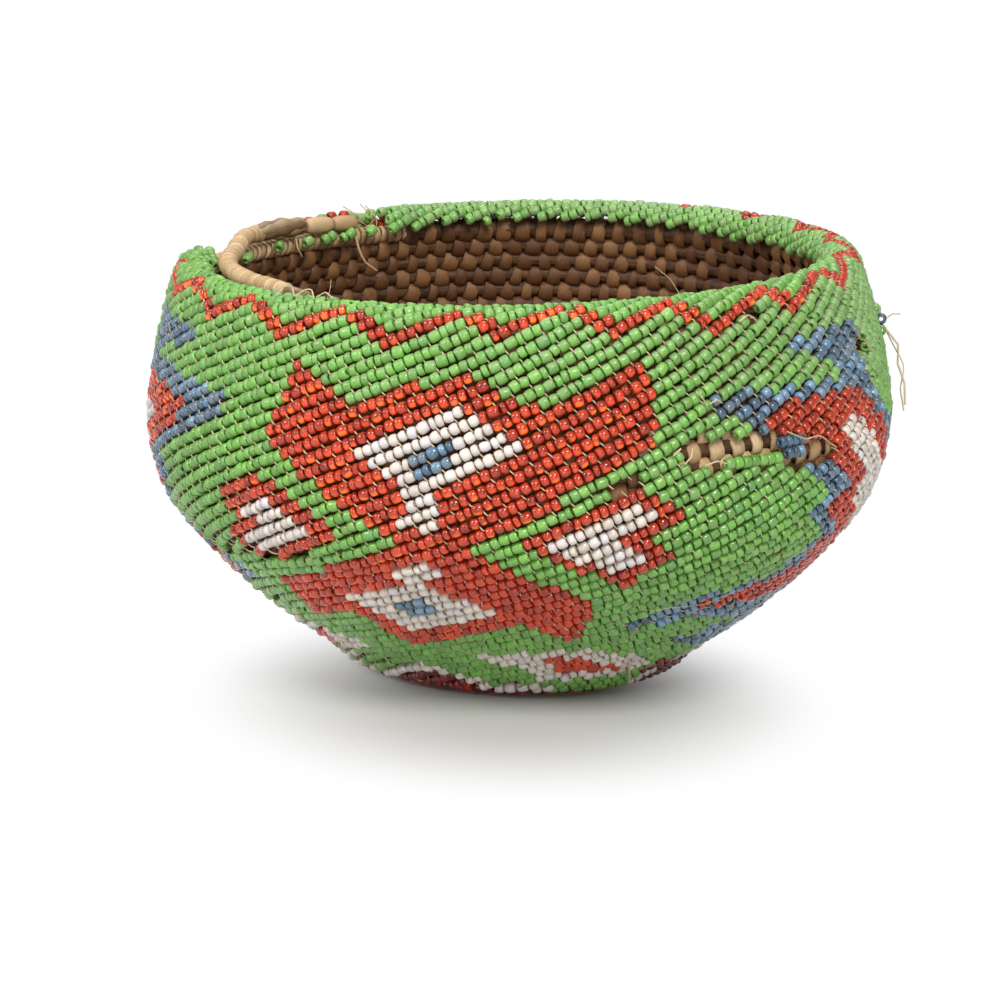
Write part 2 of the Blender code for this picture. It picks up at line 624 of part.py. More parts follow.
def bead_net(parts, cutters, surfaces):
    """The bead net: base, foot borders, green field, figures, rim teeth and rim fold."""
    half = CLEARANCE / 2
    base_end = FOOT_RUN - 1.5
    base_runs = [0.0, 13.0, BASE_FLAT, base_end - 0.2]
    add_object("net_base", turned_shell("net_base", base_runs, cutters), parts, surfaces["red"])

    wall_end = SECTION.wall_top - 0.2
    wall_runs = [base_end + half, 31.7, 35.0, 47.0, 63.0, 72.5, 79.0, 86.0, 96.0, 108.0, wall_end]
    wall_shell = turned_shell("wall_layer", wall_runs, cutters)

    foot_low = tooth_line(FOOT_TEETH, FOOT_TOOTH_START, FOOT_TOOTH_BOTTOM, FOOT_TOOTH_RISES)
    foot_high = lifted(foot_low, FOOT_BAND)
    rim_low = tooth_line(RIM_TEETH, RIM_TOOTH_START, RIM_TOOTH_BOTTOM, (RIM_TOOTH_RISE,))
    rim_high = lifted(rim_low, RIM_BAND)
    start = level(base_end + half - FOOT_RUN)
    foot_rows = [between(start, lifted(foot_low, -half), share) for share in (0.0, 0.3, 0.6, 1.0)]
    band("foot_border_red", foot_rows, parts, surfaces["maroon"])
    band("foot_border_white", [lifted(foot_low, half + FOOT_EASE), lifted(foot_high, -half)],
         parts, surfaces["white"])
    field_rows = [level(climb) for climb in (18.0, 34.0, 43.0, 49.0, 56.0, 66.0, 78.0)]
    field = band("field_green", [lifted(foot_high, half), *field_rows, lifted(rim_low, -half)],
                 parts, surfaces["green"])
    tooth_rows = [between(lifted(rim_low, half), lifted(rim_high, -half), share)
                  for share in (0.0, 0.5, 1.0)]
    teeth = band("rim_teeth_red", tooth_rows, parts, surfaces["red"])
    top = SECTION.wall_top - FOOT_RUN
    crest, over = [level(top + share * math.pi * FOLD_RADIUS) for share in (0.37, 0.65)]
    fold_start = lifted(rim_high, half + FOLD_EASE)
    hem = [between(fold_start, crest, share) for share in (0.0, 0.5, 1.0)]
    lip = [level(SECTION.end - TEAR_LIP_LEFT - FOOT_RUN), level(SECTION.end - FOOT_RUN)]
    fold = band("rim_fold_green", [*hem, over, *lip], parts, surfaces["green"],
                reach=(SLIP_END, SLIP_START + 360.0))
    edge = [between(fold_start, level(SLIP_EDGE), share) for share in SLIP_ROWS]
    band("rim_edge_green", edge, parts, surfaces["green"], reach=(SLIP_EDGE_START, SLIP_END - 0.5))
    tear = tear_cutter(cutters)
    slit = cutter("slit", cutters, [finely(SLIT)])

    figures = {
        "wing_upper": (WING_UPPER_RED, WING_UPPER_WHITE, WING_UPPER_BLUE, ("red", "white", "blue")),
        "wing_lower": (WING_LOWER_RED, WING_LOWER_WHITE, WING_LOWER_BLUE, ("red", "white", "blue")),
        "heart_left": (HEART_LEFT_RED, HEART_LEFT_WHITE, None, ("red", "white")),
        "heart_right": (HEART_RIGHT_RED, HEART_RIGHT_WHITE, None, ("red", "white")),
        "star": (STAR_BLUE, STAR_RED, STAR_WHITE, ("blue", "red", "white")),
        "foot_lens_right": (LENS_WHITE, LENS_RED, None, ("white", "red")),
        "foot_lens_left": (mirrored(LENS_WHITE, LENS_MIRROR), mirrored(LENS_RED, LENS_MIRROR),
                           None, ("white", "red")),
    }
    outer_outlines = []
    for side, turn in zip(("front", "back"), FIGURE_REPEATS):
        for figure, (*rings, tones) in figures.items():
            rings = [turned_by(ring, turn) for ring in rings if ring is not None]
            outer_outlines.append(rings[0])
            for index, (ring, tone) in enumerate(zip(rings, tones)):
                through = slit if side == "front" and figure == "star" and index < 2 else None
                add_panel(f"{figure}_{tone}_{side}", wall_shell, ring, rings[index + 1:index + 2],
                          parts, cutters, surfaces[tone], through)

    holes = [grown(outline, half) for outline in outer_outlines]
    cut(field, "DIFFERENCE", cutter("field_holes", cutters, holes))
    cut(field, "DIFFERENCE", slit)
    for item in (field, teeth, fold):
        cut(item, "DIFFERENCE", tear)


def loose_strands(parts, surfaces):
    """The strands of beads that have come loose at the slit and at the right side."""
    green = [wall_place(angle, 68.5, 1.0) for angle in np.linspace(31.0, 40.0, 6)]
    strand("loose_green_strand", green, 6, parts, surfaces["green"])
    blue = [wall_place(angle, 66.6, 1.0) for angle in np.linspace(44.5, 50.0, 4)]
    strand("loose_blue_strand", blue, 4, parts, surfaces["blue"])


def main():
    clear_scene()
    parts = collection("beaded_basket")
    cutters = collection("cutters")
    surfaces = {
        "green": material("green_beads", GREEN, 0.35),
        "red": material("red_beads", RED, 0.2),
        "white": material("white_beads", WHITE, 0.25),
        "blue": material("blue_beads", BLUE, 0.25),
        "maroon": material("maroon_beads", MAROON, 0.3),
    }
    willow = material("willow", WILLOW, 0.6)
    dark_willow = material("dark_willow", DARK_WILLOW, 0.7)
    foundation(parts, willow, dark_willow)
    bead_net(parts, cutters, surfaces)
    loose_strands(parts, surfaces)


if __name__ == "__main__":
    main()
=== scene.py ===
"""Beaded coiled basket.

A willow coil, bound with flat splints, stands under a net of glass seed beads. The net is laid out
round by round over the outside, the base and the rim: every stitch follows its row, rows lean up
to the right, and rows are dropped where the basket narrows. A bead takes its colour from the panel
that its place falls in.
"""

import json
import math
from functools import lru_cache

import bmesh
import bpy
import numpy as np
from mathutils import Matrix, Vector

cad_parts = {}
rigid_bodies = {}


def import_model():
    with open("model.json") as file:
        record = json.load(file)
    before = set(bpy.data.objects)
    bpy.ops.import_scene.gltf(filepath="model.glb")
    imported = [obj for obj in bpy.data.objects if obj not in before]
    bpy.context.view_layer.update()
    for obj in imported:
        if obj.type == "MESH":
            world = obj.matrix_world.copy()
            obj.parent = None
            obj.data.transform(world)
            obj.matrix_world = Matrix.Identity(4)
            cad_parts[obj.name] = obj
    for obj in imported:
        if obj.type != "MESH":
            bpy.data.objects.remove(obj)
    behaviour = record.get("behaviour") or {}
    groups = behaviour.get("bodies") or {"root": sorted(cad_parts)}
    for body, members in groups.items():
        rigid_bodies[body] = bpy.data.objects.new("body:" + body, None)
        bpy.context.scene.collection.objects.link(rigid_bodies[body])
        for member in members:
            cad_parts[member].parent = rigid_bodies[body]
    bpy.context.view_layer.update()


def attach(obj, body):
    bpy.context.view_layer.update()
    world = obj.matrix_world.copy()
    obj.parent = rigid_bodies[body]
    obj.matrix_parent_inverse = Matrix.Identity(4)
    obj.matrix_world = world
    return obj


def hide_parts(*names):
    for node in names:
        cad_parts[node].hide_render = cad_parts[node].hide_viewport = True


bl_info = {
    "name": "Beaded basket",
    "version": (1, 0, 0),
    "blender": (4, 5, 0),
    "location": "View3D > Sidebar > Basket",
    "description": "Builds a coiled willow basket under a net of glass seed beads",
    "category": "Object",
}

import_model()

# The basket's own sizes, in millimetres, as its solids have them
MM = 0.001
BEAD = 2.2
COIL = 2.6
COIL_PITCH = 3.263
COIL_INSET = 4.15
FOLD_RADIUS = 4.45
KNOT_RUN = 4.35
RIM_HEIGHT = 78.3
BASE_FLAT = 28.2
FOOT_RUN = 30.5
LIP_DROP = 0.9
TURN_START = -3.0
WALL_POINTS = (
    (BASE_FLAT, 0.0), (31.9, 0.8), (35.0, 3.7), (45.7, 11.7), (58.5, 23.5),
    (67.2, 35.2), (70.0, 47.0), (68.8, 58.7), (66.7, 68.0), (64.5, 75.4),
)
RIM_RISE_RIGHT = 2.8
RIM_RISE_BACK = 1.1
RIM_SHIFT_LEFT = 1.4
SHIFT_START = 0.6

# Panel outlines, in degrees round from the front and millimetres up the wall
WING_UPPER_RED = ((-35.5, 83), (-25, 75.5), (-8, 84.5), (2, 77.5), (19.5, 86), (20.5, 70),
                  (-7.5, 51.9), (-16.8, 51.3), (-40, 67.5))
WING_UPPER_WHITE = ((-25.5, 68), (-9, 78.3), (0.5, 70.6), (-12.6, 61.6), (-12.2, 60), (-10.5, 58.5),
                    (-10.8, 56), (-13.5, 53.8), (-17.3, 55.6), (-15.6, 58.5), (-16.2, 61.9))
WING_UPPER_BLUE = ((-15.9, 69.3), (-10.4, 72.3), (-8.7, 67.9), (-14.2, 64.9))
WING_LOWER_RED = ((-16.4, 50.8), (-46, 35.8), (-45.5, 24.7), (-31.5, 30.2), (-22.4, 19.1),
                  (0.5, 29.9), (13.5, 22.5), (15.1, 36.5), (-7.8, 51.3))
WING_LOWER_WHITE = ((-31.6, 34.7), (-17.2, 40.2), (-17.4, 41.3), (-20, 43.6), (-14.6, 47),
                    (-11.6, 44.2), (-14.6, 41.5), (-14.2, 40.4), (-3, 34.2), (-20.6, 26))
WING_LOWER_BLUE = ((-21.8, 33.1), (-17, 35.9), (-13.5, 33.4), (-17.5, 30.6))
HEART_LEFT_RED = ((-51.0, 56.0), (-39.4, 61.2), (-25.4, 50.8), (-44.3, 41.0), (-51.5, 46.3),
                  (-46.5, 50.8))
HEART_LEFT_WHITE = ((-46.6, 53.5), (-40.6, 57.0), (-30.5, 51.0), (-43.8, 44.8), (-47.2, 46.6),
                    (-41.5, 50.7))
HEART_RIGHT_RED = ((0.4, 52.0), (18.0, 63.2), (26.2, 58.3), (20.9, 53.3), (26.2, 49), (18, 41.8))
HEART_RIGHT_WHITE = ((4.2, 51.9), (17.9, 59.8), (22, 57.1), (14.1, 54), (21, 48.8), (15.7, 45.2))
STAR_BLUE = ((46, 85.5), (52, 86.5), (68, 87), (67, 79), (70, 75), (82.5, 65.5), (94, 75.5),
             (98, 79.5), (96, 86), (112, 86), (121, 84.5), (113.5, 81.5), (103, 76.8), (117.5, 75.8),
             (132, 74), (129.5, 71), (120, 65.7), (108, 59.5), (113, 56), (106, 49), (109, 44),
             (116, 39.5), (126, 34.5), (120, 30.5), (106, 28), (112, 25.5), (104, 19.5),
             (94, 13), (66, 12), (50, 15), (39, 20.5), (57, 25), (40, 28.5), (22.5, 27.6), (27.3, 31),
             (36.4, 37), (51, 39.2), (57.5, 48), (50.2, 55.3), (55.9, 58.1), (46, 63.7),
             (42.2, 69.3), (29.4, 76.5), (29.4, 77.8), (35.5, 78.8), (58, 78.2), (57.8, 79.7))
STAR_RED = ((38.7, 74.6), (43.8, 76), (60, 76.4), (64.2, 75), (82.5, 61), (100, 73), (114.7, 71.2),
            (121, 70.8), (115.2, 65.7), (103.7, 60.2), (99, 56.5), (104, 52), (98, 47), (103, 42),
            (118, 35), (112, 32), (96, 31), (60.4, 31.8), (46.5, 30.6), (36, 33.1), (44.3, 36.2),
            (56.4, 38.2), (60.1, 41.9), (57, 44.5), (63, 49), (55, 54.2), (62.3, 58.2), (51.6, 66),
            (46.6, 69.2), (41.6, 70.8))
STAR_WHITE = ((56.2, 69), (56, 70.4), (62.3, 70.9), (82.5, 55.8), (98, 67.5), (106, 66.5),
              (98, 60), (92, 56), (97, 52), (91, 47.5), (94, 45), (73, 45.4), (66.4, 53),
              (64.7, 56), (68, 59.2), (59.8, 65.9))
LENS_WHITE = ((-9, 17), (16, 20.2), (24.3, 17.4), (33.3, 14.6), (45.4, 9.3), (37.7, 6), (8, 6),
              (7, 9), (-1.5, 12.7))
LENS_RED = ((8, 17), (17.5, 14.8), (31.4, 9.8), (32.5, 8.4), (12, 8.4))
WING_JOINT = ((-17.8, 50.4), (-17.8, 53.3), (-7.2, 53.8), (-7.2, 50.9))
SLIT = ((23.8, 70.4), (31, 71.6), (37, 71.8), (42, 70.9), (46.7, 69.9), (54.5, 68.5),
        (54.5, 66.6), (50, 63.6), (44, 63.6), (41.5, 65.3), (31, 65.7), (23.8, 67.6))
SMALL_GAPS = (((38.2, 91.0), (41.0, 92.6), (44.4, 91.8), (42.0, 90.4)),
              ((13.4, 62.2), (13.0, 63.6), (18.0, 66.6), (18.4, 65.0)),
              ((64.8, 82.0), (66.0, 84.4), (71.2, 82.0), (70.0, 79.8)))
LENS_MIRROR = -22.0

# Borders: the low points of the zigzag under the rim, its fall, and the zigzag at the foot
RIM_BOTTOMS = ((-57.0, 88.8), (-40.0, 87.5), (-21.0, 88.8), (-3.4, 89.7), (15.4, 89.5), (31.5, 89.8),
               (48.6, 91.0), (66.0, 92.3), (84.0, 93.2), (102.0, 94.0), (120.0, 94.0), (138.0, 92.4),
               (156.0, 90.2), (174.0, 89.4), (192.0, 89.3), (210.0, 89.3), (228.0, 89.5), (246.0, 90.0),
               (264.0, 90.3), (283.5, 89.3))
RIM_FALL = (2.52, -1.54)
RIM_FALL_START = (0.8, 0.4)
RIM_MIDDLE = 91.5
FOOT_TEETH = 8
FOOT_TOOTH_START = -3.0
FOOT_TOOTH_BOTTOM = 0.5
FOOT_TOOTH_RISES = (1.6, 7.6)
FOOT_BAND = 2.7
FOOT_STRIPE = ((44.0, -9.0), (46.0, 10.5), (85.0, 1.0), (90.0, -9.0))
FOOT_STRIPE_WIDTH = 4.6
FOOT_GREEN = ((14.0, 0.2), (44.0, 0.2), (44.0, 6.0), (14.0, 6.0))
BASE_END = -1.5

# The torn stretch of the rim, and the stretch beside it where the net has slipped and ends on the rim
TEAR = (-153.0, -100.5)
TEAR_FOOT = ((-153.0, 96.0), (-136.0, 95.4), (-130.0, 92.0), (-124.0, 87.1), (-100.0, 87.1))
TORN_LIP = (2.9, 0.5)
LIP_LEFT = ((-151.5, -147.0), (-144.0, -137.5), (-134.8, -131.0), (-127.0, -123.5), (-114.5, -110.0))
LIP_SHORT = ((-180.0, 2.8), (-165.0, 2.5), (-155.0, 1.4), (-100.0, 0.3), (95.0, 0.3), (135.0, 0.3),
             (141.0, 1.1), (152.0, 2.0), (163.0, 1.8), (173.0, 2.7), (180.0, 2.8))
SLIP_START = -102.0
SLIP_END = -42.0
SLIP_EDGE = ((-104.0, 102.0), (-88.0, 102.9), (-66.0, 102.0), (-56.0, 100.4), (-40.0, 100.2))
LIP_TRIM = 0.7
# How ragged these edges are: the tear's foot and its two sides, the slipped edge and the lip
TEAR_RAGGED = (0.5, 1.2, 0.8)
SLIP_RAGGED = 0.35
LIP_RAGGED = 0.45

# The coil's tail over the rim and inside the slipped net: degrees round from the front, radius,
# and how far in from the end of the coil and above it the tail lies
TAIL = ((-148.0, 0.5, 0.85, 2.0), (-140.0, 0.95, 0.98, 2.42), (-130.0, 1.35, 1.1, 2.8),
        (-122.0, 1.5, 1.14, 2.95), (-115.0, 1.5, 2.6, 3.5), (-106.0, 1.5, 5.4, 3.6),
        (-98.0, 1.5, 6.8, 3.4), (-56.0, 1.5, 6.8, 3.4), (-48.0, 1.3, 6.6, 3.3), (-40.0, 0.6, 6.2, 3.2))

# The lay of the net: the widths of a stitch of three beads by height, how its rows and rounds run,
# where the work starts, how the rounds sway and how unlike the beads' lengths are
STITCH_HEIGHTS = (-30.0, 0.0, 14.0, 46.0)
STITCH_WIDTHS = (4.9, 4.9, 5.2, 5.76)
UPPER_ROWS = 74
UPPER_START = 45.0
STITCH_AREA = 13.3
STITCH_RUN = 5.38
STITCH_BEADS = 3
FIRST_ROUND = 46.0
INNER_RUN = 3.2
FEWEST_STITCHES = 5
ROW_CORNERS = ((-0.33, 0.25), (0.0, 0.5), (0.33, 0.25))
STEEPEST_SHIFT = 0.55
SWAY = 1.2
SWAY_START = 35.0
SWAY_GROWTH = 35.0
SWAY_END = 4.0
SWAY_FALL = 12.0
BEAD_LENGTH_SPREAD = 0.17
BEAD_LENGTH_LIMITS = (0.66, 1.34)

COLOURS = {
    "green": (0.168, 0.395, 0.066),
    "red": (0.480, 0.048, 0.016),
    "white": (0.720, 0.640, 0.560),
    "blue": (0.078, 0.150, 0.225),
    "maroon": (0.120, 0.012, 0.010),
    "willow": (0.180, 0.086, 0.032),
    "pale_willow": (0.740, 0.540, 0.320),
    "thread": (0.640, 0.480, 0.290),
}


def smooth_curve(points, steps=24):
    """A smooth curve through points, with its slope at each point taken from its neighbours."""
    knots = np.array(points, dtype=float)
    lengths = np.hypot(*np.diff(knots, axis=0).T)
    places = np.concatenate([[0.0], np.cumsum(lengths)])
    slopes = np.gradient(knots, places, axis=0)
    slopes[0] = (1.0, 0.0)
    spans = []
    for index, length in enumerate(lengths):
        u = np.linspace(0.0, 1.0, steps, endpoint=False)[:, None]
        start = (2 * u**3 - 3 * u**2 + 1) * knots[index]
        start_slope = (u**3 - 2 * u**2 + u) * length * slopes[index]
        end = (3 * u**2 - 2 * u**3) * knots[index + 1]
        end_slope = (u**3 - u**2) * length * slopes[index + 1]
        spans.append(start + start_slope + end + end_slope)
    spans.append(knots[-1:])
    return np.concatenate(spans)


class Section:
    """The bead surface in half section, read by the run along it from the middle of the base."""

    def __init__(self):
        flat = np.linspace((0.0, 0.0), (BASE_FLAT, 0.0), 20, endpoint=False)
        wall = smooth_curve(WALL_POINTS)
        tangent = wall[-1] - wall[-2]
        tangent /= np.linalg.norm(tangent)
        normal = np.array((tangent[1], -tangent[0]))
        centre = wall[-1] - FOLD_RADIUS * normal
        turns = np.linspace(0.0, math.pi, 25)[1:, None]
        over = centre + FOLD_RADIUS * (np.cos(turns) * normal + np.sin(turns) * tangent)
        drops = np.linspace(0.0, LIP_DROP, 8)[1:, None]
        self.points = np.concatenate([flat, wall, over, over[-1] - drops * tangent])
        steps = np.hypot(*np.diff(self.points, axis=0).T)
        self.runs = np.concatenate([[0.0], np.cumsum(steps)])
        along = np.gradient(self.points, self.runs, axis=0)
        along /= np.linalg.norm(along, axis=1)[:, None]
        self.normals = np.stack([along[:, 1], -along[:, 0]], axis=1)
        self.wall_top = self.runs[len(flat) + len(wall) - 1]
        self.end = self.runs[-1]

    def point(self, run, inset=0.0):
        """Radius and height at a run, moved in from the bead surface by inset."""
        place = [np.interp(run, self.runs, self.points[:, axis]) for axis in (0, 1)]
        normal = [np.interp(run, self.runs, self.normals[:, axis]) for axis in (0, 1)]
        return place[0] - inset * normal[0], place[1] - inset * normal[1]


SECTION = Section()
LIP_END = SECTION.end - FOOT_RUN


def shift_share(height):
    """The share of the rim's shift that a height has: none below the belly."""
    return np.clip((height / RIM_HEIGHT - SHIFT_START) / (1.0 - SHIFT_START), 0.0, None) ** 2


def place(angle, radius, height):
    """Points in millimetres, from degrees round from the front, radius and height."""
    turn = np.radians(np.asarray(angle, float) - 90.0)
    rise = RIM_RISE_RIGHT * np.cos(turn) + RIM_RISE_BACK * np.sin(turn)
    return np.stack(np.broadcast_arrays(
        radius * np.cos(turn) - RIM_SHIFT_LEFT * shift_share(height),
        radius * np.sin(turn),
        height + rise * height / RIM_HEIGHT), axis=-1)


def wrapped(angle, middle):
    """Angles brought within half a turn of a middle one."""
    return (np.asarray(angle, float) - middle + 180.0) % 360.0 - 180.0 + middle


def wall_place(angle, climb, inset=0.0):
    """Points on the bead surface, from degrees round and millimetres up the wall."""
    angle, climb = np.asarray(angle, float), np.asarray(climb, float)
    height = SECTION.point(climb + FOOT_RUN)[1]
    rise = RIM_RISE_RIGHT * np.sin(np.radians(angle)) - RIM_RISE_BACK * np.cos(np.radians(angle))
    run = climb + FOOT_RUN - rise * (height / RIM_HEIGHT - shift_share(height))
    return place(angle, *SECTION.point(run, inset))


def unit(vectors):
    return vectors / np.maximum(np.linalg.norm(vectors, axis=-1, keepdims=True), 1e-9)


def wall_frame(angle, climb):
    """The unit vectors across, up and out of the bead surface at places on it."""
    angle, climb = np.asarray(angle, float), np.asarray(climb, float)
    across = wall_place(angle + 0.2, climb) - wall_place(angle - 0.2, climb)
    up = unit(wall_place(angle, climb + 0.2) - wall_place(angle, climb - 0.2))
    out = unit(np.cross(across, up))
    return np.cross(up, out), up, out


def inside(outline, angle, climb):
    """Which places lie inside a panel outline."""
    corners = np.array(outline, float)
    x = wrapped(angle, (corners[:, 0].min() + corners[:, 0].max()) / 2)
    found = np.zeros(x.shape, bool)
    for (x0, y0), (x1, y1) in zip(corners, np.roll(corners, -1, axis=0)):
        if y0 != y1:
            crosses = (y0 > climb) != (y1 > climb)
            found ^= crosses & (x < (x1 - x0) * (climb - y0) / (y1 - y0) + x0)
    return found


def tooth_line(angle, teeth, start, bottom, rises):
    """Height of a zigzag line at an angle, with the teeth's rises taken in turn."""
    tooth, phase = np.divmod((np.asarray(angle, float) - start) / (360.0 / teeth), 1.0)
    climbing = 1.0 - np.abs(2.0 * phase - 1.0)
    return bottom + np.array(rises)[tooth.astype(int) % len(rises)] * climbing


# The net's lay


# Rows that join or leave are spread round by the first share of a turn, and the second is how far
# each easing brings a stitch to the middle of its neighbours
GOLDEN_SHARE = 0.618034
EASING = 0.4


def line_at(marks, angle):
    """The second value of a table of marks, at angles between its first ones."""
    return np.interp(angle, *np.array(marks).T)


def next_round(angles, rows, shift, radius, target, fresh, easing=24):
    """The next round of stitches: each follows its row, and rows join or leave one at a time."""
    angles = angles + math.degrees(shift / radius)
    rows = list(rows)
    change = -1 if len(angles) > target else 1
    for _ in range(abs(len(angles) - target)):
        gaps = np.diff(angles, append=angles[0] + 360.0)
        wanted = 360.0 * ((GOLDEN_SHARE * (fresh + len(rows))) % 1.0) + angles[0]
        near = int(np.argmin(np.abs(angles - wanted)))
        if change < 0:
            angles = np.delete(angles, near)
            del rows[near]
        else:
            angles = np.insert(angles, near + 1, angles[near] + gaps[near] / 2)
            rows.insert(near + 1, fresh + len(rows))
    first, last = np.arange(len(angles)) == 0, np.arange(len(angles)) == len(angles) - 1
    for _ in range(easing):
        before = np.roll(angles, 1) - np.where(first, 360.0, 0.0)
        after = np.roll(angles, -1) + np.where(last, 360.0, 0.0)
        angles = angles + EASING * ((before + after) / 2 - angles)
    return angles, rows


def stitches_round(climb, radius):
    """How many stitches a round has: the same from the belly to the rim, fewer towards the foot."""
    if climb >= UPPER_START:
        return UPPER_ROWS
    width = float(np.interp(climb, STITCH_HEIGHTS, STITCH_WIDTHS))
    return max(min(round(2 * math.pi * radius / width), UPPER_ROWS), FEWEST_STITCHES)


@lru_cache(maxsize=1)
def net_rounds():
    """Every round of the net, by its number: its height, the angles of its stitches and their rows."""
    first = (np.arange(UPPER_ROWS) * 360.0 / UPPER_ROWS, list(range(UPPER_ROWS)))
    rounds = {0: (FIRST_ROUND, *first)}
    for direction in (1, -1):
        climb, (angles, rows), number, fresh = FIRST_ROUND, first, 0, 1000 * (2 + direction)
        while True:
            radius = float(SECTION.point(np.clip(climb + FOOT_RUN, INNER_RUN, SECTION.end))[0])
            rise = STITCH_AREA / (2 * math.pi * radius / len(angles))
            climb += direction * rise
            run = climb + FOOT_RUN
            if run < INNER_RUN or run > SECTION.end + rise:
                break
            radius = float(SECTION.point(min(run, SECTION.end))[0])
            shift = direction * math.sqrt(max(STITCH_RUN**2 - rise**2, 0.0))
            shift = max(min(shift, STEEPEST_SHIFT * radius), -STEEPEST_SHIFT * radius)
            number += direction
            fresh += 200
            angles, rows = next_round(angles, rows, shift, radius, stitches_round(climb, radius), fresh)
            rounds[number] = (climb, angles, rows)
    return rounds


@lru_cache(maxsize=1)
def net_rows():
    """Every row of the net: the numbers of its rounds, with its angle and height at each."""
    rows = {}
    for number in sorted(net_rounds()):
        climb, angles, names = net_rounds()[number]
        for angle, name in zip(angles, names):
            rows.setdefault(name, []).append((number, angle, climb))
    return {name: np.array(marks) for name, marks in rows.items() if len(marks) > 1}


def along_row(marks, at):
    """Angle and height along a row, eased round its corners."""
    angle, climb = 0.0, 0.0
    for offset, weight in ROW_CORNERS:
        angle = angle + weight * np.interp(at + offset, marks[:, 0], marks[:, 1])
        climb = climb + weight * np.interp(at + offset, marks[:, 0], marks[:, 2])
    return angle, climb + hand_sway(angle, climb)


def hand_sway(angle, climb):
    """The rounds aren't quite level: they sway a little round the upper wall."""
    below = np.clip((climb - SWAY_START) / SWAY_GROWTH, 0.0, 1.0)
    above = np.clip((LIP_END - SWAY_END - climb) / SWAY_FALL, 0.0, 1.0)
    return SWAY * (below * above) * np.sin(2 * np.radians(angle - 2.0))


@lru_cache(maxsize=1)
def net_beads():
    """Every bead of the net: its row, its number in it, place, direction, length and random draws."""
    draw = np.random.default_rng(7)
    found = []
    for name, marks in sorted(net_rows().items()):
        first, last = int(marks[0, 0]), int(marks[-1, 0])
        index = np.arange(first * STITCH_BEADS, last * STITCH_BEADS)
        at = (index + 0.5) / STITCH_BEADS
        pair = (index // 2) - index[0] // 2
        share = np.clip(draw.normal(1.0, BEAD_LENGTH_SPREAD, pair.max() + 1), *BEAD_LENGTH_LIMITS)[pair]
        share = np.where(index % 2 == 0, share, 2.0 - share)
        moved = at + np.where(index % 2 == 0, share - 1.0, 1.0 - share) / 2 / STITCH_BEADS
        found.append(np.stack([np.full(len(index), name), index, moved, share], axis=1))
    table = np.concatenate(found)
    angle, climb = np.zeros(len(table)), np.zeros(len(table))
    ahead, behind = np.zeros((len(table), 2)), np.zeros((len(table), 2))
    for name, marks in net_rows().items():
        mine = table[:, 0] == name
        at = table[mine, 2]
        angle[mine], climb[mine] = along_row(marks, at)
        ahead[mine] = np.stack(along_row(marks, at + 0.5 / STITCH_BEADS), axis=1)
        behind[mine] = np.stack(along_row(marks, at - 0.5 / STITCH_BEADS), axis=1)
    half = BEAD / 2
    step = wall_place(ahead[:, 0], ahead[:, 1], half) - wall_place(behind[:, 0], behind[:, 1], half)
    out = wall_frame(angle, climb)[2]
    along = unit(step - (step * out).sum(1, keepdims=True) * out)
    return {
        "row": table[:, 0].astype(int), "index": table[:, 1].astype(int),
        "angle": wrapped(angle, 0.0), "climb": climb,
        "place": wall_place(angle, climb, half), "along": along, "out": out,
        "length": np.linalg.norm(step, axis=1) * table[:, 3],
        "draws": draw.random((len(table), 6)), "normals": draw.normal(size=(len(table), 6)),
    }


def panels():
    """The figure panels, innermost first: name of the solid and outline."""
    figures = {
        "wing_upper": (WING_UPPER_RED, WING_UPPER_WHITE, WING_UPPER_BLUE, ("red", "white", "blue")),
        "wing_lower": (WING_LOWER_RED, WING_LOWER_WHITE, WING_LOWER_BLUE, ("red", "white", "blue")),
        "heart_left": (HEART_LEFT_RED, HEART_LEFT_WHITE, ("red", "white")),
        "heart_right": (HEART_RIGHT_RED, HEART_RIGHT_WHITE, ("red", "white")),
        "star": (STAR_BLUE, STAR_RED, STAR_WHITE, ("blue", "red", "white")),
        "foot_lens_right": (LENS_WHITE, LENS_RED, ("white", "red")),
        "foot_lens_left": (tuple((2 * LENS_MIRROR - x, y) for x, y in LENS_WHITE),
                           tuple((2 * LENS_MIRROR - x, y) for x, y in LENS_RED), ("white", "red")),
    }
    listed = []
    for side, turn in (("front", 0.0), ("back", 180.0)):
        for figure, (*outlines, tones) in figures.items():
            for outline, tone in reversed(list(zip(outlines, tones))):
                turned = tuple((angle + turn, climb) for angle, climb in outline)
                listed.append((f"{figure}_{tone}_{side}", turned))
    return listed


def rim_zigzag(beads):
    """Which beads make the red zigzag: one row climbs from each low point, pairs fall to the next."""
    chosen = np.zeros(len(beads["angle"]), bool)
    wide = float(SECTION.point(RIM_MIDDLE + FOOT_RUN)[0])
    starts = []

    def nearest(angle, climb, row=None):
        across = np.radians(wrapped(beads["angle"], angle) - angle) * wide
        away = np.hypot(across, beads["climb"] - climb)
        if row is not None:
            away = np.where(beads["row"] == row, away, 1e6)
        return np.argsort(away)

    for angle, climb in RIM_BOTTOMS:
        starts.append(nearest(angle, climb)[0])
    for here, after in zip(starts, starts[1:] + starts[:1]):
        rows = int((beads["row"][after] - beads["row"][here]) % UPPER_ROWS)
        angle, climb = beads["angle"][after], beads["climb"][after]
        for fall in range(1, rows + 1):
            row = (beads["row"][after] - fall) % UPPER_ROWS
            pair = nearest(angle - math.degrees((fall * RIM_FALL[0] - RIM_FALL_START[0]) / wide),
                           climb - fall * RIM_FALL[1] + RIM_FALL_START[1], row)[:2]
            chosen[pair] = True
            if fall == rows:
                reach = beads["index"][pair].max()
                chosen |= ((beads["row"] == row) & (beads["index"] >= beads["index"][here])
                           & (beads["index"] <= reach))
    return chosen


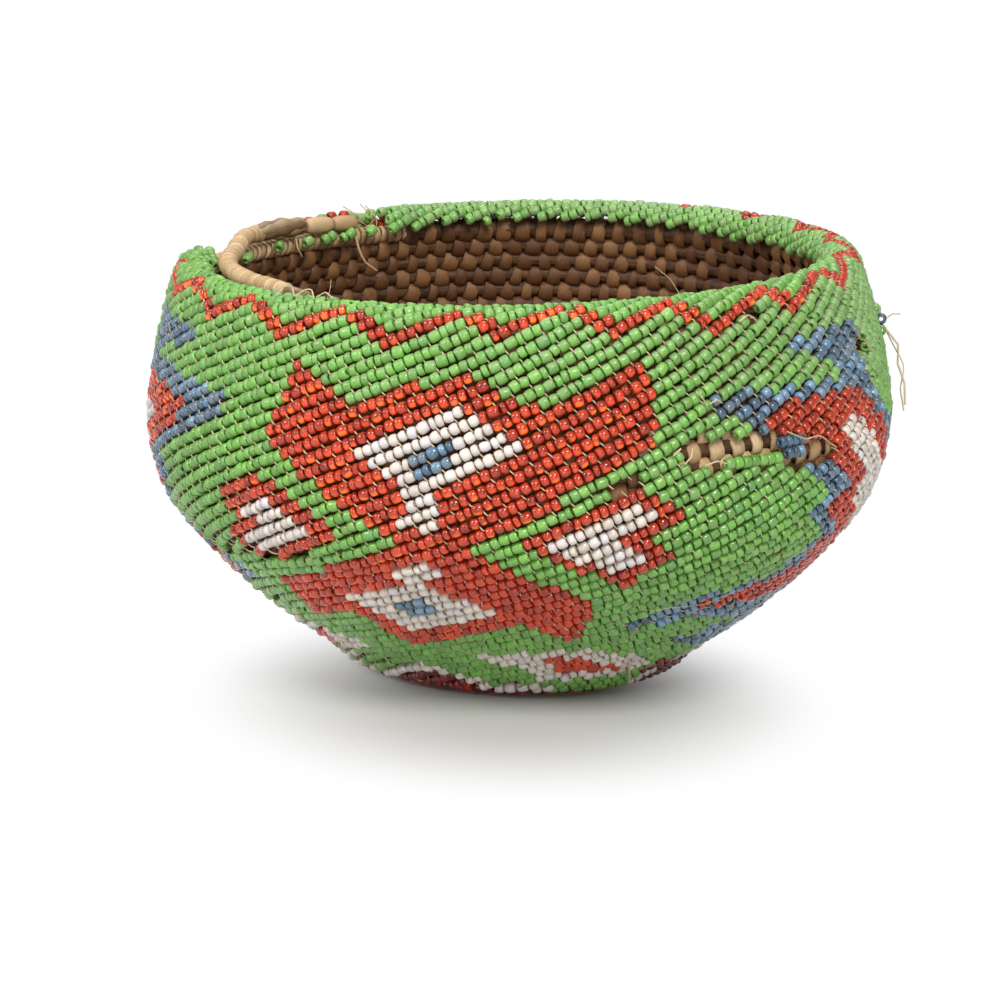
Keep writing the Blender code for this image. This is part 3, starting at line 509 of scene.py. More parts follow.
def foot_line(angle):
    """Height of the zigzag edge of the foot's border."""
    return tooth_line(angle, FOOT_TEETH, FOOT_TOOTH_START, FOOT_TOOTH_BOTTOM, FOOT_TOOTH_RISES)


@lru_cache(maxsize=1)
def bead_panels():
    """The panel that each bead of the net belongs to, or nothing where the net is gone."""
    beads = net_beads()
    angle, climb = beads["angle"], beads["climb"]
    named = np.full(len(angle), "", dtype=object)
    named[climb > BASE_END] = "foot_border_red"
    named[climb > foot_line(angle)] = "foot_border_white"
    named[climb > foot_line(angle) + FOOT_BAND] = "field_green"
    named[inside(FOOT_GREEN, angle, climb)] = "field_green"
    stripe = line_at(FOOT_STRIPE, angle)
    named[(climb < stripe) & (climb > stripe - FOOT_STRIPE_WIDTH) & (climb > 0.0)] = "foot_border_red"
    named[climb > RIM_MIDDLE] = "rim_fold_green"
    named[(climb > RIM_MIDDLE) & (angle > SLIP_START) & (angle < SLIP_END)] = "rim_edge_green"
    taken = np.zeros(len(angle), bool)
    for name, outline in panels():
        here = inside(outline, angle, climb) & ~taken
        named[here] = name
        taken |= here
    for side, turn in (("front", 0.0), ("back", 180.0)):
        joint = inside(tuple((x + turn, y) for x, y in WING_JOINT), angle, climb)
        named[joint & (named == "field_green")] = f"wing_upper_red_{side}"
    named[climb <= BASE_END] = "net_base"
    named[rim_zigzag(beads)] = "rim_teeth_red"
    ragged = beads["normals"][:, 5]
    gone = inside(SLIT, angle, climb)
    for outline in SMALL_GAPS:
        gone |= inside(outline, angle, climb)
    foot = line_at(TEAR_FOOT, angle) + TEAR_RAGGED[0] * ragged
    torn = (angle > TEAR[0] + TEAR_RAGGED[1] * ragged) & (angle < TEAR[1] + TEAR_RAGGED[2] * ragged)
    torn &= climb > foot
    lip = (climb > LIP_END - TORN_LIP[0]) & (climb < LIP_END - TORN_LIP[1])
    for low, high in LIP_LEFT:
        torn &= ~(lip & (angle > low) & (angle < high))
    gone |= torn
    edge = line_at(SLIP_EDGE, angle) + SLIP_RAGGED * ragged
    gone |= (angle > SLIP_START) & (angle < SLIP_END + ragged) & (climb > edge)
    gone |= climb > LIP_END - LIP_TRIM - line_at(LIP_SHORT, angle) + LIP_RAGGED * ragged
    named[gone] = ""
    return named


# Node trees


class Wire:
    """A socket of a node tree, with sums on it that add Math nodes."""

    def __init__(self, graph, socket):
        self.graph = graph
        self.socket = socket

    def sum(self, operation, *values):
        return self.graph.add("ShaderNodeMath", dict(enumerate(values)), operation=operation)[0]

    def __add__(self, other):
        return self.sum("ADD", self, other)

    def __sub__(self, other):
        return self.sum("SUBTRACT", self, other)

    def __rsub__(self, other):
        return self.sum("SUBTRACT", other, self)

    def __mul__(self, other):
        return self.sum("MULTIPLY", self, other)

    def __pow__(self, other):
        return self.sum("POWER", self, other)

    __radd__ = __add__
    __rmul__ = __mul__


class Made:
    """A node's outputs, by name or number."""

    def __init__(self, graph, node):
        self.graph = graph
        self.node = node

    def __getitem__(self, key):
        return Wire(self.graph, self.node.outputs[key])


class Graph:
    """A node tree that takes each node in one call: its settings, then what its sockets get."""

    def __init__(self, tree):
        self.tree = tree

    def add(self, kind, values=None, **settings):
        node = self.tree.nodes.new(kind)
        for name, value in settings.items():
            setattr(node, name, value)
        for key, value in (values or {}).items():
            socket = node.inputs[key]
            if isinstance(value, Made):
                value = value[0]
            if isinstance(value, Wire):
                self.tree.links.new(value.socket, socket)
            else:
                socket.default_value = value
        return Made(self, node)

    def mix(self, share, first, second):
        """Two colours mixed."""
        return self.add("ShaderNodeMix", {0: share, 6: first, 7: second}, data_type="RGBA")[2]

    def ramp(self, value, low, high):
        """A value eased from 0 to 1 as it goes from low to high."""
        return self.add("ShaderNodeMapRange", {0: value, 1: low, 2: high},
                        interpolation_type="SMOOTHSTEP")[0]

    def noise(self, scale, detail, vector):
        return self.add("ShaderNodeTexNoise", {"Scale": scale, "Detail": detail, "Vector": vector})

    def attribute(self, name, output="Fac"):
        return self.add("ShaderNodeAttribute", attribute_name=name)[output]

    def parts(self, vector):
        """The three numbers of a vector."""
        made = self.add("ShaderNodeSeparateXYZ", {0: vector})
        return made[0], made[1], made[2]

    def object_place(self):
        return self.add("ShaderNodeTexCoord")["Object"]

    def bump(self, strength, distance, height):
        return self.add("ShaderNodeBump", {"Strength": strength, "Distance": distance, "Height": height})


# Finishes


# The colours that a bead or a splint goes towards, beside the ones that a user would change
TINTS = {
    "warm_green": (0.24, 0.42, 0.12),
    "cool_green": (0.10, 0.30, 0.10),
    # Dust on a green bead's upper side, made paler there as painted light from above
    "green_dust": (0.40, 0.48, 0.27),
    "green_pits": (0.10, 0.16, 0.05),
    "dark_red": (0.20, 0.015, 0.007),
    "deep_red": (0.50, 0.046, 0.014),
    "red_glow": (0.70, 0.055, 0.012),
    "orange_glow": (1.00, 0.180, 0.016),
    # Dust on a red bead's upper side, pinker and paler there as a painted highlight
    "red_dust": (0.45, 0.20, 0.14),
    "lilac": (0.66, 0.66, 0.76),
    "white_holes": (0.60, 0.50, 0.38),
    "white_shade": (0.50, 0.47, 0.52),
    "blue_grey": (0.19, 0.24, 0.28),
    "blue_shine": (0.30, 0.50, 0.72),
    "blue_dust": (0.34, 0.38, 0.42),
    "maroon_glow": (0.36, 0.030, 0.016),
    "rod_grain": (0.058, 0.021, 0.007),
    "splint_grain": (0.125, 0.050, 0.017),
    "pale_grain": (0.46, 0.29, 0.14),
    "tail_grain": (0.16, 0.085, 0.035),
    "bundle_grain": (0.17, 0.085, 0.035),
    "paper": (0.50, 0.497, 0.475),
    "paper_grain": (0.47, 0.467, 0.445),
    "black": (0.0, 0.0, 0.0),
    "white": (1.0, 1.0, 1.0),
}


def shaded(colour, share):
    """A colour made darker or lighter."""
    return tuple(min(max(value * share, 0.0), 1.0) for value in colour)


def rgba(colour, share=1.0):
    return shaded(colour, share) + (1.0,)


def tint(name):
    return rgba(TINTS[name])


def new_material(name):
    """A new material without nodes, and the graph of its tree."""
    made = bpy.data.materials.new(name)
    made.use_nodes = True
    made.node_tree.nodes.clear()
    return made, Graph(made.node_tree)


def finish(made, graph, values):
    """The material, when its one Principled shader has these values."""
    shader = graph.add("ShaderNodeBsdfPrincipled", values)
    graph.add("ShaderNodeOutputMaterial", {"Surface": shader})
    return made


class BeadLook:
    """What the glass reads on a bead: its own tone, cast and dust, the place on it, and fine noise."""

    def __init__(self, graph):
        place_on = graph.object_place()
        self.tone = graph.attribute("tone")
        self.cast = graph.attribute("cast")
        self.dust = graph.attribute("dust")
        self.along, self.across, self.out = graph.parts(graph.attribute("local", "Vector"))
        self.grain = graph.noise(2600.0, 3.0, place_on)[0]
        self.cloud = graph.noise(700.0, 2.0, place_on)[0]


def green_glass(graph, bead, colour):
    """Opaque green: warm on some beads, cool on others, finely pitted; dust high up, paler on top as painted
    light.
    """
    body = graph.mix(bead.tone, rgba(colour, 0.76), rgba(colour, 1.16))
    warm = graph.mix(graph.ramp(bead.cast, 0.75, 1.0) * 0.5, body, tint("warm_green"))
    cool = graph.mix(graph.ramp(bead.cast, 0.15, 0.0) * 0.4, warm, tint("cool_green"))
    # Partly dust high on the wall, partly painted light: each bead's upper side is made paler
    dusty_painted_top = graph.ramp(bead.across + bead.cloud * 0.5, 0.05, 0.75) * bead.dust * 0.55
    pits = graph.ramp(bead.grain, 0.68, 0.78) * 0.5
    return {"Base Color": graph.mix(pits, graph.mix(dusty_painted_top, cool, tint("green_dust")), tint("green_pits")),
            "Roughness": 0.22 + bead.dust * 0.22 + bead.cloud * 0.12,
            "IOR": 1.52, "Coat Weight": 0.32, "Coat Roughness": 0.12}


def red_glass(graph, bead, colour):
    """Clear deep red: light pools orange low in a bead, and the lowest beads are lit all over."""
    deep = graph.mix(bead.cast, tint("dark_red"), tint("deep_red"))
    lit = graph.mix(graph.ramp(bead.cloud, 0.3, 0.7) * 0.5, deep, rgba(colour, 1.3))
    # Painted light: an orange pool low in each bead, where light would gather in the glass, also given as
    # emission
    pool = graph.ramp(0.12 - bead.across + bead.cloud * 0.25 - bead.tone * 0.12, 0.12, 0.42)
    middle = graph.ramp(bead.out, 0.05, 0.30) * graph.ramp(bead.along * bead.along, 0.20, 0.02)
    # Painted light: the beads low on the basket glow deep red all over, by emission
    low = graph.ramp(graph.parts(graph.object_place())[2], 0.048, 0.020)
    glow = pool * middle * graph.ramp(bead.tone, 0.05, 0.75) * 0.95
    bright = graph.mix(graph.ramp(bead.tone, 0.6, 1.0), tint("red_glow"), tint("orange_glow"))
    # Partly dust high on the wall, partly a painted highlight on each bead's upper side
    dusty_painted_top = graph.ramp(bead.across, 0.15, 0.5) * bead.dust * 0.28
    low_glow = graph.mix(low * 0.30, tint("black"), deep)
    return {"Base Color": graph.mix(dusty_painted_top, graph.mix(glow, lit, bright), tint("red_dust")),
            "Emission Color": graph.mix(glow, low_glow, bright), "Emission Strength": 0.42,
            "Roughness": 0.10 + bead.dust * 0.12 + bead.cloud * 0.06,
            "IOR": 1.50, "Coat Weight": 0.22, "Coat Roughness": 0.05}


def white_glass(graph, bead, colour):
    """Pearly white: lilac on some beads, brown round the holes and shaded underneath."""
    body = graph.mix(bead.tone, rgba(colour, 0.80), rgba(colour, 1.12))
    cool = graph.mix(graph.ramp(bead.cast + bead.cloud * 0.4, 0.7, 1.2) * 0.45, body, tint("lilac"))
    holes = graph.ramp(bead.along * bead.along, 0.10, 0.26) * 0.45
    under = graph.ramp(bead.across, 0.0, -0.45) * 0.35
    return {"Base Color": graph.mix(under, graph.mix(holes, cool, tint("white_holes")), tint("white_shade")),
            "Roughness": 0.16 + bead.cloud * 0.14,
            "IOR": 1.5, "Coat Weight": 0.3, "Coat Roughness": 0.06}


def blue_glass(graph, bead, colour):
    """Steel blue: grey on some beads, and paler where the light strikes the upper side."""
    body = graph.mix(bead.tone, rgba(colour, 0.55), rgba(colour, 1.35))
    grey = graph.mix(graph.ramp(bead.cast, 0.45, 1.0) * 0.6, body, tint("blue_grey"))
    shine = graph.ramp(bead.across + bead.cloud * 0.5, 0.1, 0.6) * graph.ramp(bead.tone, 0.4, 1.0) * 0.6
    return {"Base Color": graph.mix(bead.dust * 0.15, graph.mix(shine, grey, tint("blue_shine")),
                                    tint("blue_dust")),
            "Roughness": 0.14 + bead.cloud * 0.16,
            "IOR": 1.52, "Coat Weight": 0.35, "Coat Roughness": 0.05}


def maroon_glass(graph, bead, colour):
    """Dark maroon with a dull red glow low in the paler beads."""
    body = graph.mix(bead.tone, rgba(colour, 0.6), rgba(colour, 1.9))
    pool = graph.ramp(0.10 - bead.across + bead.cloud * 0.2, 0.15, 0.45)
    glow = pool * graph.ramp(bead.tone, 0.5, 1.0) * 0.6
    return {"Base Color": graph.mix(glow, body, tint("maroon_glow")),
            "Roughness": 0.14 + bead.cloud * 0.12,
            "IOR": 1.52, "Coat Weight": 0.3, "Coat Roughness": 0.05}


def splint_wood(name, colour, dark, spread=0.9, aged=None):
    """Split willow: streaks along it, darker edges, its own tone, and an aged inner side if asked."""
    made, graph = new_material(name)
    tone = graph.attribute("tone")
    along, across, out = graph.parts(graph.attribute("local", "Vector"))
    place_on = graph.object_place()
    streak_place = graph.add("ShaderNodeCombineXYZ", {0: along * 14.0, 1: tone * 40.0, 2: across * 0.6})
    streak = graph.noise(1.6, 3.0, streak_place)[0]
    stain = graph.noise(220.0, 3.0, place_on)[0]
    fibre = graph.noise(2400.0, 2.0, place_on)[0]
    body = graph.mix(graph.ramp(streak + (tone - 0.5) * spread, 0.2, 0.85), rgba(dark), rgba(colour))
    stained = graph.mix(graph.ramp(stain, 0.45, 0.75) * 0.5, body, rgba(dark))
    if aged:
        stained = graph.mix(graph.ramp(out, 0.5, -0.5), stained, rgba(aged))
    edge = graph.ramp(along * along, 0.14, 0.25) * 0.8
    return finish(made, graph, {
        "Base Color": graph.mix(edge, stained, rgba(dark, 0.7)), "Roughness": 0.42 + stain * 0.3,
        "IOR": 1.45, "Normal": graph.bump(0.5, 0.00015, streak + fibre * 0.35)})


def rod_wood(name, colour, dark):
    """A peeled rod: long fibres along it and dark patches."""
    made, graph = new_material(name)
    fibre_place = graph.add("ShaderNodeCombineXYZ", {0: graph.attribute("turn_share") * 14.0,
                                                     1: graph.attribute("run") * 0.25, 2: 0.0})
    fibre = graph.noise(1.3, 4.0, fibre_place)[0]
    stain = graph.noise(260.0, 3.0, graph.object_place())[0]
    body = graph.mix(graph.ramp(fibre, 0.3, 0.7), rgba(dark), rgba(colour))
    return finish(made, graph, {
        "Base Color": graph.mix(graph.ramp(stain, 0.5, 0.7) * 0.6, body, rgba(dark, 0.6)),
        "Roughness": 0.55 + stain * 0.25, "IOR": 1.45, "Normal": graph.bump(0.6, 0.0002, fibre)})


def thread_fibre(colour):
    """Waxed two-ply thread: a fine twist, pale, dirty in places."""
    made, graph = new_material("thread_fibre")
    place_on = graph.object_place()
    twist = graph.noise(3800.0, 2.0, place_on)[0]
    dirt = graph.noise(350.0, 2.0, place_on)[0]
    body = graph.mix(graph.ramp(dirt + graph.attribute("tone") * 0.4, 0.4, 1.0),
                     rgba(colour), rgba(colour, 0.55))
    return finish(made, graph, {
        "Base Color": graph.mix(graph.ramp(twist, 0.5, 0.8) * 0.4, body, rgba(colour, 1.3)),
        "Roughness": 0.6 + dirt * 0.2, "IOR": 1.4, "Sheen Weight": 0.3,
        "Normal": graph.bump(0.6, 0.0001, twist)})


def basket_colours():
    """The colours as the add-on's properties have them."""
    given = bpy.context.scene.basket_colours
    return {name: tuple(getattr(given, name)) for name in COLOURS}


def wood(name):
    """A finish of willow by its name, made once."""
    if name in bpy.data.materials:
        return bpy.data.materials[name]
    colours = basket_colours()
    willow, pale = colours["willow"], colours["pale_willow"]
    if name == "willow_rod":
        return rod_wood(name, shaded(willow, 0.85), TINTS["rod_grain"])
    if name == "pale_rod":
        return rod_wood(name, shaded(pale, 0.5), TINTS["tail_grain"])
    if name == "willow_splint":
        return splint_wood(name, shaded(willow, 1.5), TINTS["splint_grain"])
    if name == "bundled_splint":
        return splint_wood(name, shaded(pale, 0.54), TINTS["bundle_grain"], spread=0.7)
    aged = shaded(willow, 1.1) if name == "clean_splint" else None
    return splint_wood(name, pale, TINTS["pale_grain"], spread=0.5, aged=aged)


# Geometry node trees


def node_tree(name, inputs):
    """A geometry node tree with named inputs; returns its graph and the wires of its inputs."""
    tree = bpy.data.node_groups.new(name, "GeometryNodeTree")
    tree.interface.new_socket("Geometry", in_out="INPUT", socket_type="NodeSocketGeometry")
    for label, (kind, default) in inputs.items():
        socket = tree.interface.new_socket(label, in_out="INPUT", socket_type=kind)
        if default is not None:
            socket.default_value = default
    tree.interface.new_socket("Geometry", in_out="OUTPUT", socket_type="NodeSocketGeometry")
    graph = Graph(tree)
    return graph, graph.add("NodeGroupInput")


def stored(graph, label, kind):
    return graph.add("GeometryNodeInputNamedAttribute", {"Name": label}, data_type=kind)[0]


def close_tree(graph, geometry, material):
    """End a tree with smooth faces and their material."""
    smooth = graph.add("GeometryNodeSetShadeSmooth", {"Geometry": geometry})
    done = graph.add("GeometryNodeSetMaterial", {"Geometry": smooth, "Material": material})
    graph.add("NodeGroupOutput", {0: done})
    return graph.tree


def copies_tree():
    """Copies of one form on points, each with its own turn and size, and a slightly uneven surface."""
    graph, given = node_tree("copies_on_points", {
        "Form": ("NodeSocketObject", None),
        "Unevenness": ("NodeSocketFloat", 0.00005),
        "Unevenness scale": ("NodeSocketFloat", 500.0),
        "Material": ("NodeSocketMaterial", None),
    })
    form = graph.add("GeometryNodeObjectInfo", {"Object": given["Form"]}, transform_space="ORIGINAL")
    position = graph.add("GeometryNodeInputPosition")
    marked = graph.add("GeometryNodeStoreNamedAttribute",
                       {"Geometry": form["Geometry"], "Name": "local", "Value": position},
                       data_type="FLOAT_VECTOR", domain="POINT")
    copied = graph.add("GeometryNodeInstanceOnPoints", {
        "Points": graph.add("GeometryNodeMeshToPoints", {"Mesh": given["Geometry"]}), "Instance": marked,
        "Rotation": stored(graph, "turn", "QUATERNION"), "Scale": stored(graph, "size", "FLOAT_VECTOR")})
    real = graph.add("GeometryNodeRealizeInstances", {"Geometry": copied})
    noise = graph.noise(given["Unevenness scale"], 0.0, position)
    centred = graph.add("ShaderNodeVectorMath", {0: noise[1], 1: (0.5, 0.5, 0.5)}, operation="SUBTRACT")
    offset = graph.add("ShaderNodeVectorMath", {0: centred, "Scale": given["Unevenness"]}, operation="SCALE")
    moved = graph.add("GeometryNodeSetPosition", {"Geometry": real, "Offset": offset})
    return close_tree(graph, moved, given["Material"])


def tube_tree():
    """A round tube along each path, as thick at each point as the path says, with closed ends."""
    graph, given = node_tree("tube_on_paths", {
        "Sides": ("NodeSocketInt", 8),
        "Material": ("NodeSocketMaterial", None),
    })
    thick = stored(graph, "thick", "FLOAT")
    curve = graph.add("GeometryNodeMeshToCurve", {"Mesh": given["Geometry"]})
    sized = graph.add("GeometryNodeSetCurveRadius", {"Curve": curve, "Radius": thick})
    ring = graph.add("GeometryNodeCurvePrimitiveCircle", {"Resolution": given["Sides"], "Radius": 1.0},
                     mode="RADIUS")
    share = graph.add("GeometryNodeSplineParameter")["Factor"]
    marked = graph.add("GeometryNodeStoreNamedAttribute",
                       {"Geometry": ring, "Name": "turn_share", "Value": share},
                       data_type="FLOAT", domain="POINT")
    tube = graph.add("GeometryNodeCurveToMesh", {
        "Curve": sized, "Profile Curve": marked, "Scale": thick, "Fill Caps": True})
    real = graph.add("GeometryNodeRealizeInstances", {"Geometry": tube})
    return close_tree(graph, real, given["Material"])


def shared_tree(name, build):
    """A tree by its name, made once."""
    return bpy.data.node_groups.get(name) or build()


def new_object(name, mesh):
    made = bpy.data.objects.new(name, mesh)
    bpy.context.scene.collection.objects.link(made)
    return made


def from_tree(name, mesh, tree, values, forget=()):
    """The plain mesh object that a node tree makes of a mesh."""
    source = new_object(f"{name}_source", mesh)
    modifier = source.modifiers.new("Nodes", "NODES")
    modifier.node_group = tree
    sockets = {item.name: item.identifier for item in tree.interface.items_tree
               if item.item_type == "SOCKET" and item.in_out == "INPUT"}
    for label, value in values.items():
        modifier[sockets[label]] = value
    bpy.context.view_layer.update()
    depsgraph = bpy.context.evaluated_depsgraph_get()
    result = bpy.data.meshes.new_from_object(source.evaluated_get(depsgraph), depsgraph=depsgraph)
    result.name = name
    source.modifiers.remove(modifier)
    bpy.data.objects.remove(source, do_unlink=True)
    for label in forget:
        if label in result.attributes:
            result.attributes.remove(result.attributes[label])
    return new_object(name, result)


def point_mesh(name, places, numbers):
    """A mesh of loose points in metres with named values on them."""
    mesh = bpy.data.meshes.new(name)
    mesh.from_pydata((np.asarray(places) * MM).tolist(), [], [])
    for label, values in numbers.items():
        values = np.asarray(values, np.float32)
        kind = {1: "FLOAT", 3: "FLOAT_VECTOR", 4: "QUATERNION"}[values.shape[1] if values.ndim > 1 else 1]
        field = {"FLOAT": "value", "FLOAT_VECTOR": "vector", "QUATERNION": "value"}[kind]
        mesh.attributes.new(label, kind, "POINT").data.foreach_set(field, values.ravel())
    return mesh


def quaternions(along, across, out):
    """Turns, as quaternions, that bring x, y and z to the given unit vectors."""
    turns = np.stack([along, across, out], axis=-1)
    return np.array([Matrix(turn.tolist()).to_quaternion()[:] for turn in turns])


# How far a form's surface wanders, in metres, and how many waves of it go to a metre
BEAD_UNEVEN = (0.00005, 500.0)
THREAD_UNEVEN = (0.00006, 1500.0)
STITCH_UNEVEN = (0.00025, 420.0)
WRAP_UNEVEN = (0.0002, 500.0)
TAIL_UNEVEN = (0.00016, 700.0)


def copies(name, form, places, axes, sizes, draws, material, uneven=BEAD_UNEVEN, dust=None):
    """Copies of a form at places in millimetres, turned to axes and sized along them, as one piece."""
    numbers = {"turn": quaternions(*axes), "size": np.stack(np.broadcast_arrays(*sizes), axis=1) * MM,
               "tone": draws[:, 0], "cast": draws[:, 1]}
    if dust is not None:
        numbers["dust"] = dust
    return from_tree(name, point_mesh(name, places, numbers), shared_tree("copies_on_points", copies_tree),
                     {"Form": form, "Unevenness": uneven[0], "Unevenness scale": uneven[1],
                      "Material": material}, forget=("turn", "size"))


def tubes(name, paths, sides, material):
    """Tubes along paths; a path is points in millimetres and a thickness at each, also in them."""
    places, thick, tone, run, edges, start = [], [], [], [], [], 0
    for points, widths, shade in paths:
        points = np.asarray(points, float)
        lengths = np.linalg.norm(np.diff(points, axis=0), axis=1)
        places.append(points)
        thick.append(np.broadcast_to(widths, len(points)) * MM / 2)
        tone.append(np.full(len(points), shade))
        run.append(np.concatenate([[0.0], np.cumsum(lengths)]))
        edges += [(start + index, start + index + 1) for index in range(len(points) - 1)]
        start += len(points)
    mesh = point_mesh(name, np.concatenate(places), {
        "thick": np.concatenate(thick), "tone": np.concatenate(tone), "run": np.concatenate(run)})
    mesh.edges.add(len(edges))
    mesh.edges.foreach_set("vertices", np.array(edges).ravel())
    mesh.update()
    return from_tree(name, mesh, shared_tree("tube_on_paths", tube_tree),
                     {"Sides": sides, "Material": material}, forget=("thick",))


def form_from(work, name):
    """The object that a finished bmesh makes, with its faces outwards."""
    bmesh.ops.recalc_face_normals(work, faces=work.faces)
    mesh = bpy.data.meshes.new(name)
    work.to_mesh(mesh)
    work.free()
    return new_object(name, mesh)


def ring_form(name, profile, sides):
    """A closed form turned round x from a profile of places along x and distances from it."""
    work = bmesh.new()
    rings = []
    for turn in np.arange(sides) * 2 * math.pi / sides:
        rings.append([work.verts.new((x, r * math.cos(turn), r * math.sin(turn))) for x, r in profile])
    for ring, after in zip(rings, rings[1:] + rings[:1]):
        for corner in range(len(profile)):
            ahead = (corner + 1) % len(profile)
            work.faces.new((ring[corner], after[corner], after[ahead], ring[ahead]))
    return form_from(work, name)


def forget(*forms):
    """Remove forms when they have been copied."""
    for form in forms:
        bpy.data.objects.remove(form, do_unlink=True)


def ride(piece, slot, *nodes):
    """The piece belongs to the basket and may stand for solids, which are hidden; its slot is not used."""
    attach(piece, "root")
    if nodes:
        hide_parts(*nodes)
    return piece


# Pieces


# Half sections of a bead one wide, along its hole and out from it, then what each colour takes: its
# glass, its form and how many sides that has
DRUM = ((-0.42, 0.19), (-0.50, 0.35), (-0.41, 0.465), (-0.20, 0.50), (0.20, 0.50), (0.41, 0.465),
        (0.50, 0.35), (0.42, 0.19))
PEBBLE = ((-0.40, 0.18), (-0.49, 0.32), (-0.34, 0.455), (0.0, 0.50), (0.34, 0.455), (0.49, 0.32),
          (0.40, 0.18))
BEADS = {"green": (green_glass, DRUM, 9), "blue": (blue_glass, PEBBLE, 10),
         "red": (red_glass, PEBBLE, 10), "white": (white_glass, PEBBLE, 10),
         "maroon": (maroon_glass, PEBBLE, 9)}

# How unlike the beads are: each leans the other way from its neighbour and lies beside its row, and
# is turned, tilted, sized, moved and lifted a little more by its own draws
LEAN = 3.5
LEAN_SPREAD = 6.5
TILT_SPREAD = 7.0
BREADTH_SHARE = 0.985
BREADTH_SPREAD = 0.05
BREADTH_LIMITS = (-2.2, 1.4)
LENGTH_SHARE = 0.95
SIDE_STEP = 0.05
SIDE_SPREAD = 0.07
LIFT_SPREAD = 0.11
LIFT_LIMITS = (-1.0, 2.2)
FLAT_CLIMB = 2.0
DUST_CLIMB = (55.0, 90.0)
FIELD_PARTS = (("field_beads_lower", -99.0, 27.0), ("field_beads_middle", 27.0, 46.0),
               ("field_beads_upper", 46.0, 66.0), ("field_beads_top", 66.0, 200.0))


def glass(tone):
    """The material of a colour of beads, made once."""
    name = f"{tone}_glass"
    if name not in bpy.data.materials:
        made, graph = new_material(name)
        bead = BeadLook(graph)
        values = BEADS[tone][0](graph, bead, basket_colours()[tone])
        finish(made, graph, {**values, "Normal": graph.bump(0.12, 0.0001, bead.grain + bead.cloud)})
    return bpy.data.materials[name]


def bead_form(tone):
    """The form that all beads of a colour share, made once."""
    name = f"{tone}_bead_form"
    return bpy.data.objects.get(name) or ring_form(name, *BEADS[tone][1:])


def forget_bead_forms():
    forget(*[form for form in bpy.data.objects if form.name.endswith("_bead_form")])


def tilted(axis, about, angles):
    """Unit vectors turned about others by small angles in degrees."""
    turn = np.radians(angles)[:, None]
    return axis * np.cos(turn) + np.cross(about, axis) * np.sin(turn)


def bead_piece(name, tone, chosen, breadth):
    """One panel's beads: no two are quite alike, and those that the basket stands on lie flat."""
    beads = {key: values[chosen] for key, values in net_beads().items()}
    normals = beads["normals"]
    free = np.where(beads["climb"] < FLAT_CLIMB, 0.0, 1.0)
    lean = np.where(beads["index"] % 2 == 0, 1.0, -1.0)
    along = tilted(beads["along"], beads["out"], LEAN * lean + LEAN_SPREAD * normals[:, 0])
    across = np.cross(beads["out"], along)
    along = tilted(along, across, free * TILT_SPREAD * normals[:, 1])
    out = np.cross(along, across)
    wide = breadth * (1.0 + BREADTH_SPREAD * np.clip(normals[:, 2], *BREADTH_LIMITS)) * BREADTH_SHARE
    deep = np.where(free > 0, wide, np.minimum(wide, breadth))
    aside = SIDE_STEP * lean + SIDE_SPREAD * normals[:, 3]
    lift = LIFT_SPREAD * np.clip(normals[:, 4], *LIFT_LIMITS) * free
    places = beads["place"] + aside[:, None] * across + lift[:, None] * out
    low, high = DUST_CLIMB
    dust = np.clip((beads["climb"] - low) / (high - low), 0.0, 1.0) * (0.5 + 0.5 * beads["draws"][:, 2])
    return copies(name, bead_form(tone), places, (along, across, out),
                  (beads["length"] * LENGTH_SHARE, wide, deep), beads["draws"], glass(tone), dust=dust)


def tone_of(node):
    """The colour of a panel's beads."""
    if node == "foot_border_red":
        return "maroon"
    if node == "net_base":
        return "red"
    return next(tone for tone in BEADS if tone in node.split("_"))


class BASKET_OT_bead_net(bpy.types.Operator):
    """Lay every glass bead of the net, panel by panel"""

    bl_idname = "basket.bead_net"
    bl_label = "Bead net"

    def execute(self, context):
        names = bead_panels()
        climb = net_beads()["climb"]
        breadth = context.scene.basket_sizes.bead / MM
        for node in sorted(set(names) - {""}):
            tone = tone_of(node)
            slot = f"{tone}_beads"
            chosen = names == node
            if node != "field_green":
                ride(bead_piece(f"{node}_beads", tone, chosen, breadth), slot, node)
                continue
            for index, (name, low, high) in enumerate(FIELD_PARTS):
                part = chosen & (climb >= low) & (climb < high)
                ride(bead_piece(name, tone, part, breadth), slot, *([node] if index == 0 else []))
        forget_bead_forms()
        return {"FINISHED"}


# The thread that shows between the rows: its line from side to side and outwards, its thickness, how
# far in it starts and ends, how far out it lies, and where it shows
DASH = ((-0.62, -0.9), (-0.50, -0.25), (-0.25, 0.08), (0.0, 0.16), (0.25, 0.08), (0.50, -0.25),
        (0.62, -0.9))
DASH_RADIUS = 0.14
DASH_SIDES = 5
DASH_INSETS = (0.72, 0.60)
DASH_LIFT = 0.42
DASH_LIFT_SPREAD = 0.1
DASH_SHARE = 0.88
DASH_CLIMB = 2.0
DASH_LIP = 3.0
DASH_SLIP = (100.0, 98.0)
TEAR_EDGE = 2


def dash_form():
    """A short arch of thread that dives between the beads at both ends."""
    work = bmesh.new()
    turns = np.arange(DASH_SIDES) * 2 * math.pi / DASH_SIDES
    rings = []
    for x, z in DASH:
        rings.append([work.verts.new((x, DASH_RADIUS * math.cos(turn), z + DASH_RADIUS * math.sin(turn)))
                      for turn in turns])
    for ring, after in zip(rings, rings[1:]):
        for corner in range(DASH_SIDES):
            ahead = (corner + 1) % DASH_SIDES
            work.faces.new((ring[corner], ring[ahead], after[ahead], after[corner]))
    work.faces.new(list(reversed(rings[0])))
    work.faces.new(rings[-1])
    return form_from(work, "dash_form")


